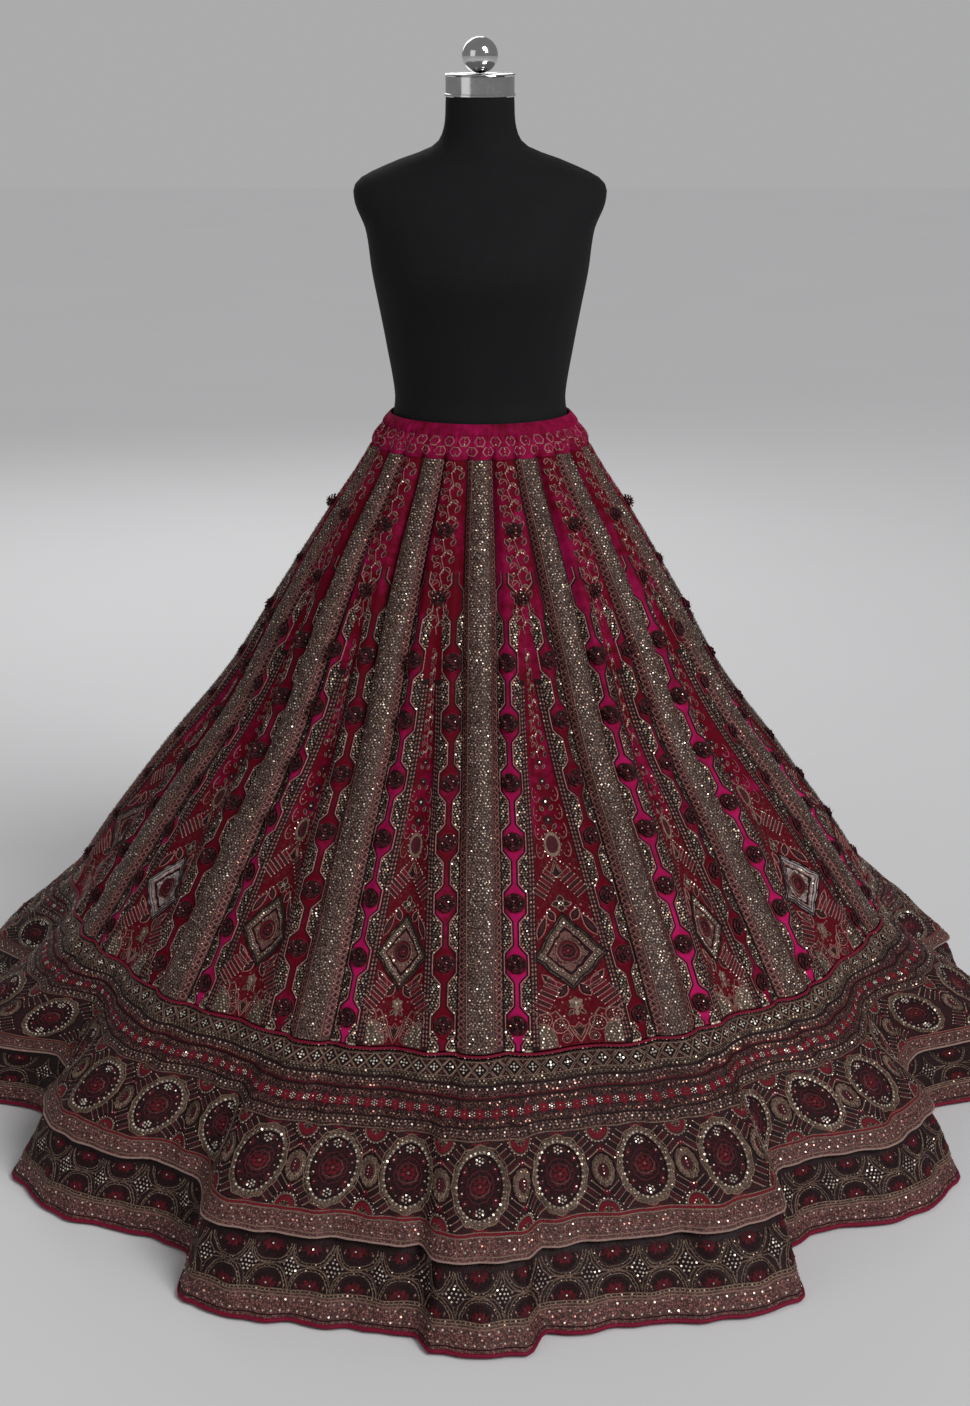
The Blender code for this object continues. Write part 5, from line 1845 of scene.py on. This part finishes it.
def dome_rose(up):
    """A red rose under its arch of double cord; up turns the arch over."""
    cell = Motif()
    lobes = arc(0.0262, 0.025, 0.0, 180.0, 24) * (1.0 + 0.05 * np.abs(np.cos(np.arange(25) * math.pi / 8.0)))[
        :, None,
    ]
    for size, label, width in ((1.0, TAUPE, 0.0016), (0.87, TAUPE, 0.0011)):
        cell.cord(label, lobes[::2] * size, width, 0.0013, 0.3)
    cell.fill(WINE, np.concatenate((arc(0.0185, 0.0195, 5.0, 175.0, 9), MIDDLE)), 0.0007, 0.05)
    for j in range(5):
        cell.fill(RED, leaf(0.016, 0.009, 0.0, 0.0, 120.0 + 30.0 * j), 0.0016, 0.1 + 0.35 * (j % 2))
    cell.fill(WINE, oval(0.0068, 0.0062, 10, y=0.004), 0.0022, 0.4)
    cell.fill(RED, oval(0.0034, 0.0034, 8, y=0.0045), 0.003, 0.8)
    cell.dots(PALE_GLINT, [(0.0, 0.0048)], 0.0012, 0.0034, 0.8)
    for side in (-1.0, 1.0):
        cell.fill(TAUPE, leaf(0.0068, 0.0028, side * 0.018, 0.0085, side * -20.0), 0.001, 0.7)
        cell.fill(WINE, leaf(0.008, 0.004, side * 0.013, 0.007, side * 60.0), 0.001, 0.4)
    cell.dots(GOLD, arc(0.0244, 0.0232, 12.0, 168.0, 12), 0.0009, 0.0012, 0.5)
    return Motif().take(cell, turn=0.0 if up else 180.0)


def lattice_spray():
    """Sequins that fill the meeting place of four arches."""
    spray = Motif()
    quarter = np.array([(0.0, -0.025), (0.003, -0.012), (0.011, -0.003), (0.028, 0.0)])
    outline = round_again(down_again(quarter))
    spray.fill(DARK, outline, 0.0005, 0.4, domed=False)
    places = scales(outline * 0.92, 0.0054)
    near = np.abs(places).sum(1) < 0.014
    spray.dots(PALE_GLINT, places[near], 0.0014, 0.001, 0.4)
    spray.dots(GOLD, places[~near], 0.0012, 0.001, 0.3)
    for flip in (-1.0, 1.0):
        spray.cord(TAUPE, quarter * (flip, 1.0), 0.0014, 0.0011, 0.2)
        spray.cord(TAUPE, quarter * (flip, -1.0), 0.0014, 0.0011, 0.2)
    spray.cord(TAUPE, [(-0.022, 0.0), (-0.029, 0.0)], 0.0018, 0.0012, 0.5)
    spray.cord(TAUPE, [(0.022, 0.0), (0.029, 0.0)], 0.0018, 0.0012, 0.5)
    return spray


def make_lower_tier():
    ring = lower_cloth()
    tier, tier_points = ring_shell(
        "lower_tier", ring, LOWER_TIER_TOP, LOWER_TIER_FOOT, "lattice_ground"
    )
    hem = HEM_HEIGHT + 0.003
    ribbon, ribbon_points = ring_shell(
        "hem_ribbon", ring, LOWER_TIER_FOOT, hem, "ribbon_ground"
    )
    edge = ring_edge("hem_piping", ring, hem, 0.0028, "red_piping")
    fall = ring.fall_at
    work = Needlework("lattice_needlework", 31)
    foot = fall(0.038)
    middle = foot - 0.027
    work.repeat(ring, dome_rose(False), 6, foot - 0.0006)
    work.repeat(ring, dome_rose(True), 6, middle - 0.0264)
    work.repeat(ring, lattice_spray(), 6, middle, 0.5)
    for height, label, width in ((0.038, TAUPE, 0.0018), (0.035, TAUPE, 0.0018)):
        work.ring_cord(ring, fall(height), label, width, 0.0013, 0.5)
    dot_row(work, ring, fall(0.0365), 60, GOLD, 0.0013, 0.5)
    lattice_work = work.piece()
    band = Needlework("hem_ribbon_needlework", 32)
    for height, label in ((0.0318, TAUPE), (0.012, DARK)):
        band.ring_cord(ring, fall(height), label, 0.0016, 0.0011, 0.6)
    rows = ((0.028, 32, PALE_GLINT, 0.0), (0.0222, 60, ROSE, 0.5), (0.016, 32, PALE_GLINT, 0.5))
    for height, per_fold, label, shift in rows:
        dot_row(band, ring, fall(height), per_fold, label, 0.0014, 0.55, shift)
    ribbon_work = band.piece()
    declare_sheet(tier_points, True)
    declare_sheet(ribbon_points, True)


# Studio


CAMERA_PLACE = (0.00665, -3.2395, 1.5675)
CAMERA_TILT = math.radians(90.0 - 17.6)
CAMERA_LENS = 59.9


def make_stage():
    s = settings()
    mesh = bpy.data.meshes.new("studio_floor")
    half = 14.0
    corners = [(-half, -half, 0.0), (half, -half, 0.0), (half, half, 0.0), (-half, half, 0.0)]
    mesh.from_pydata(corners, [], [(0, 1, 2, 3)])
    floor = bpy.data.objects.new("studio_floor", mesh)
    bpy.context.scene.collection.objects.link(floor)
    material, nodes = new_material("studio_floor")
    cloudy, pale = nodes.noise(nodes.place(), 1.6, 3.0), tint("floor")
    tone = nodes.mix(cloudy, darker(pale, 0.96), pale)
    nodes.surface(Base_Color=tone, Roughness=0.9, Specular_IOR_Level=0.08)
    mesh.materials.append(material)

    world = bpy.data.worlds.new("studio")
    world.use_nodes = True
    nodes, sky = Nodes(world.node_tree), world.node_tree.nodes["Background"]
    nodes.fill(sky.inputs["Color"], tint("backdrop"))
    seen = nodes.add("LightPath"), "Is Camera Ray"
    nodes.fill(sky.inputs["Strength"], nodes.remap(seen, 0.0, 1.0, s.ambient_strength, s.backdrop_strength))
    bpy.context.scene.world = world

    sun = bpy.data.lights.new("window_light", "SUN")
    sun.angle = math.radians(24.0)
    sun.energy = s.window_strength
    lights = [(sun, (2.4, -3.0, 3.6))]
    for name, place, size, power in (
        ("key_light", (2.5, -2.4, 2.9), 1.0, s.key_power),
        ("fill_light", (-3.2, -2.8, 2.2), 2.6, s.fill_power),
        ("back_light", (-0.8, 3.4, 2.6), 2.2, s.back_power),
    ):
        data = bpy.data.lights.new(name, "AREA")
        data.size = size
        data.energy = power
        lights.append((data, place))
    for data, place in lights:
        lamp = bpy.data.objects.new(data.name, data)
        lamp.location = place
        aim = Vector((0.0, 0.0, 0.45)) - Vector(place)
        lamp.rotation_euler = aim.to_track_quat("-Z", "Y").to_euler()
        bpy.context.scene.collection.objects.link(lamp)

    data = bpy.data.cameras.new("photo_camera")
    data.sensor_fit = "VERTICAL"
    data.sensor_height = 36.0
    data.lens = CAMERA_LENS
    camera = bpy.data.objects.new("photo_camera", data)
    camera.location = CAMERA_PLACE
    camera.rotation_euler = (CAMERA_TILT, 0.0, 0.0)
    bpy.context.scene.collection.objects.link(camera)
    bpy.context.scene.camera = camera
    bpy.context.scene.view_settings.view_transform = "Standard"


# Add-on


def light_property(name, description, default, **more):
    return FloatProperty(name=name, description=description, default=default, min=0.0, **more)


def length_property(name, description, default, low, high):
    return FloatProperty(
        name=name, description=description, default=default, min=low, max=high, unit="LENGTH", precision=5
    )


def share_property(name, description, default, high):
    return FloatProperty(
        name=name, description=description, default=default, min=0.0, max=high, subtype="FACTOR"
    )


def colour_property(name, description, default):
    return FloatVectorProperty(
        name=name, description=description, default=default, min=0.0, max=1.0, size=3, subtype="COLOR"
    )


class LehengaSettings(bpy.types.PropertyGroup):
    """Sizes and light that a user may change."""

    cloth_thickness: length_property("Cloth thickness", "Thickness of the lined cloth", 0.002, 0.001, 0.003)
    sequin_pitch: length_property("Sequin pitch", "Distance between a stripe's sequins", 0.0046, 0.003, 0.008)
    sequin_radius: length_property("Sequin radius", "Radius of a stripe's sequins", 0.00118, 0.0008, 0.0025)
    sequin_tilt: share_property("Sequin tilt", "How unevenly the sequins lie", 0.27, 0.6)
    # The share of pale sequins sets how many painted glints a stripe shows
    pale_glint_share: share_property("Pale sequins", "Share of a stripe's sequins that are pale", 0.31, 1.0)
    window_strength: light_property("Window light", "Strength of the broad light from the right", 1.45)
    key_power: light_property("Key light", "Power of the large light at the right", 26.0, unit="POWER")
    fill_power: light_property("Fill light", "Power of the soft light at the left", 14.0, unit="POWER")
    back_power: light_property("Back light", "Power of the light behind the skirt", 30.0, unit="POWER")
    ambient_strength: light_property("Room light", "Strength of the even light of the room", 0.27, max=3.0)
    backdrop_strength: light_property("Backdrop", "How bright the pale room looks behind", 0.51, max=3.0)


class LehengaColours(bpy.types.PropertyGroup):
    """Colours of the cloth, the thread and the studio."""

    crimson: colour_property("Crimson", "Deep colour of the gores' velvet", (0.105, 0.0012, 0.0075))
    magenta: colour_property("Magenta", "Colour of the velvet where its nap is lit", (0.47, 0.008, 0.11))
    taupe: colour_property("Taupe", "Metallic cord and sequins", (0.19, 0.12, 0.088))
    rose: colour_property("Rose", "Red thread of the flowers", (0.19, 0.005, 0.017))
    wine: colour_property("Wine", "Dark ground of the border", (0.042, 0.0065, 0.0095))
    ribbon: colour_property("Ribbon pink", "Pink taupe of ribbons and side columns", (0.21, 0.085, 0.075))
    piping: colour_property("Piping red", "Red piping of seam and hem", (0.2, 0.003, 0.026))
    light_piping: colour_property(
        "Light piping", "Piping at the free edge of the upper tier", (0.34, 0.215, 0.185),
    )
    jersey: colour_property("Jersey black", "Cover of the dress form", (0.0075, 0.0075, 0.0085))
    floor: colour_property("Floor", "Plain pale floor", (0.8, 0.8, 0.81))
    backdrop: colour_property("Backdrop", "Plain pale room", (0.8, 0.8, 0.81))


class LEHENGA_OT_dress_form(bpy.types.Operator):
    """Build the dress form: torso, neck cap, ball, pole and base"""

    bl_idname = "lehenga.dress_form"
    bl_label = "Dress form"

    def execute(self, context):
        make_form()
        return {"FINISHED"}


class LEHENGA_OT_waistband(bpy.types.Operator):
    """Build the gathered waistband and its needlework"""

    bl_idname = "lehenga.waistband"
    bl_label = "Waistband"

    def execute(self, context):
        make_waistband()
        return {"FINISHED"}


class LEHENGA_OT_stripes(bpy.types.Operator):
    """Build the fourteen sequin stripes"""

    bl_idname = "lehenga.stripes"
    bl_label = "Sequin stripes"

    def execute(self, context):
        make_stripes()
        return {"FINISHED"}


class LEHENGA_OT_gores(bpy.types.Operator):
    """Build the fourteen velvet gores with rosettes and godets"""

    bl_idname = "lehenga.gores"
    bl_label = "Velvet gores"

    def execute(self, context):
        make_gores()
        return {"FINISHED"}


class LEHENGA_OT_border(bpy.types.Operator):
    """Build the upper tier with its bands and medallions"""

    bl_idname = "lehenga.border"
    bl_label = "Medallion border"

    def execute(self, context):
        make_border()
        return {"FINISHED"}


class LEHENGA_OT_lower_tier(bpy.types.Operator):
    """Build the lattice tier, hem ribbon and hem piping"""

    bl_idname = "lehenga.lower_tier"
    bl_label = "Lattice tier and hem"

    def execute(self, context):
        make_lower_tier()
        return {"FINISHED"}


class LEHENGA_OT_stage(bpy.types.Operator):
    """Set the floor, the lights and the camera"""

    bl_idname = "lehenga.stage"
    bl_label = "Studio"

    def execute(self, context):
        make_stage()
        return {"FINISHED"}


STEPS = (
    LEHENGA_OT_dress_form,
    LEHENGA_OT_waistband,
    LEHENGA_OT_stripes,
    LEHENGA_OT_gores,
    LEHENGA_OT_border,
    LEHENGA_OT_lower_tier,
    LEHENGA_OT_stage,
)


class LEHENGA_PT_sidebar(bpy.types.Panel):
    """Lists the steps of the skirt and its settings"""

    bl_idname = "LEHENGA_PT_sidebar"
    bl_label = "Lehenga skirt"
    bl_space_type = "VIEW_3D"
    bl_region_type = "UI"
    bl_category = "Lehenga"

    def draw(self, context):
        for step in STEPS:
            self.layout.operator(step.bl_idname, text=step.bl_label)
        for group in (context.scene.lehenga, context.scene.lehenga_colours):
            box = self.layout.box()
            for key in group.__annotations__:
                box.prop(group, key)


CLASSES = (LehengaSettings, LehengaColours, *STEPS, LEHENGA_PT_sidebar)


def register():
    for item in CLASSES:
        bpy.utils.register_class(item)
    bpy.types.Scene.lehenga = PointerProperty(type=LehengaSettings)
    bpy.types.Scene.lehenga_colours = PointerProperty(type=LehengaColours)


def unregister():
    del bpy.types.Scene.lehenga_colours
    del bpy.types.Scene.lehenga
    for item in reversed(CLASSES):
        bpy.utils.unregister_class(item)


def main():
    register()
    bpy.ops.lehenga.dress_form()
    bpy.ops.lehenga.waistband()
    bpy.ops.lehenga.stripes()
    bpy.ops.lehenga.gores()
    bpy.ops.lehenga.border()
    bpy.ops.lehenga.lower_tier()
    bpy.ops.lehenga.stage()


if __name__ == "__main__":
    main()
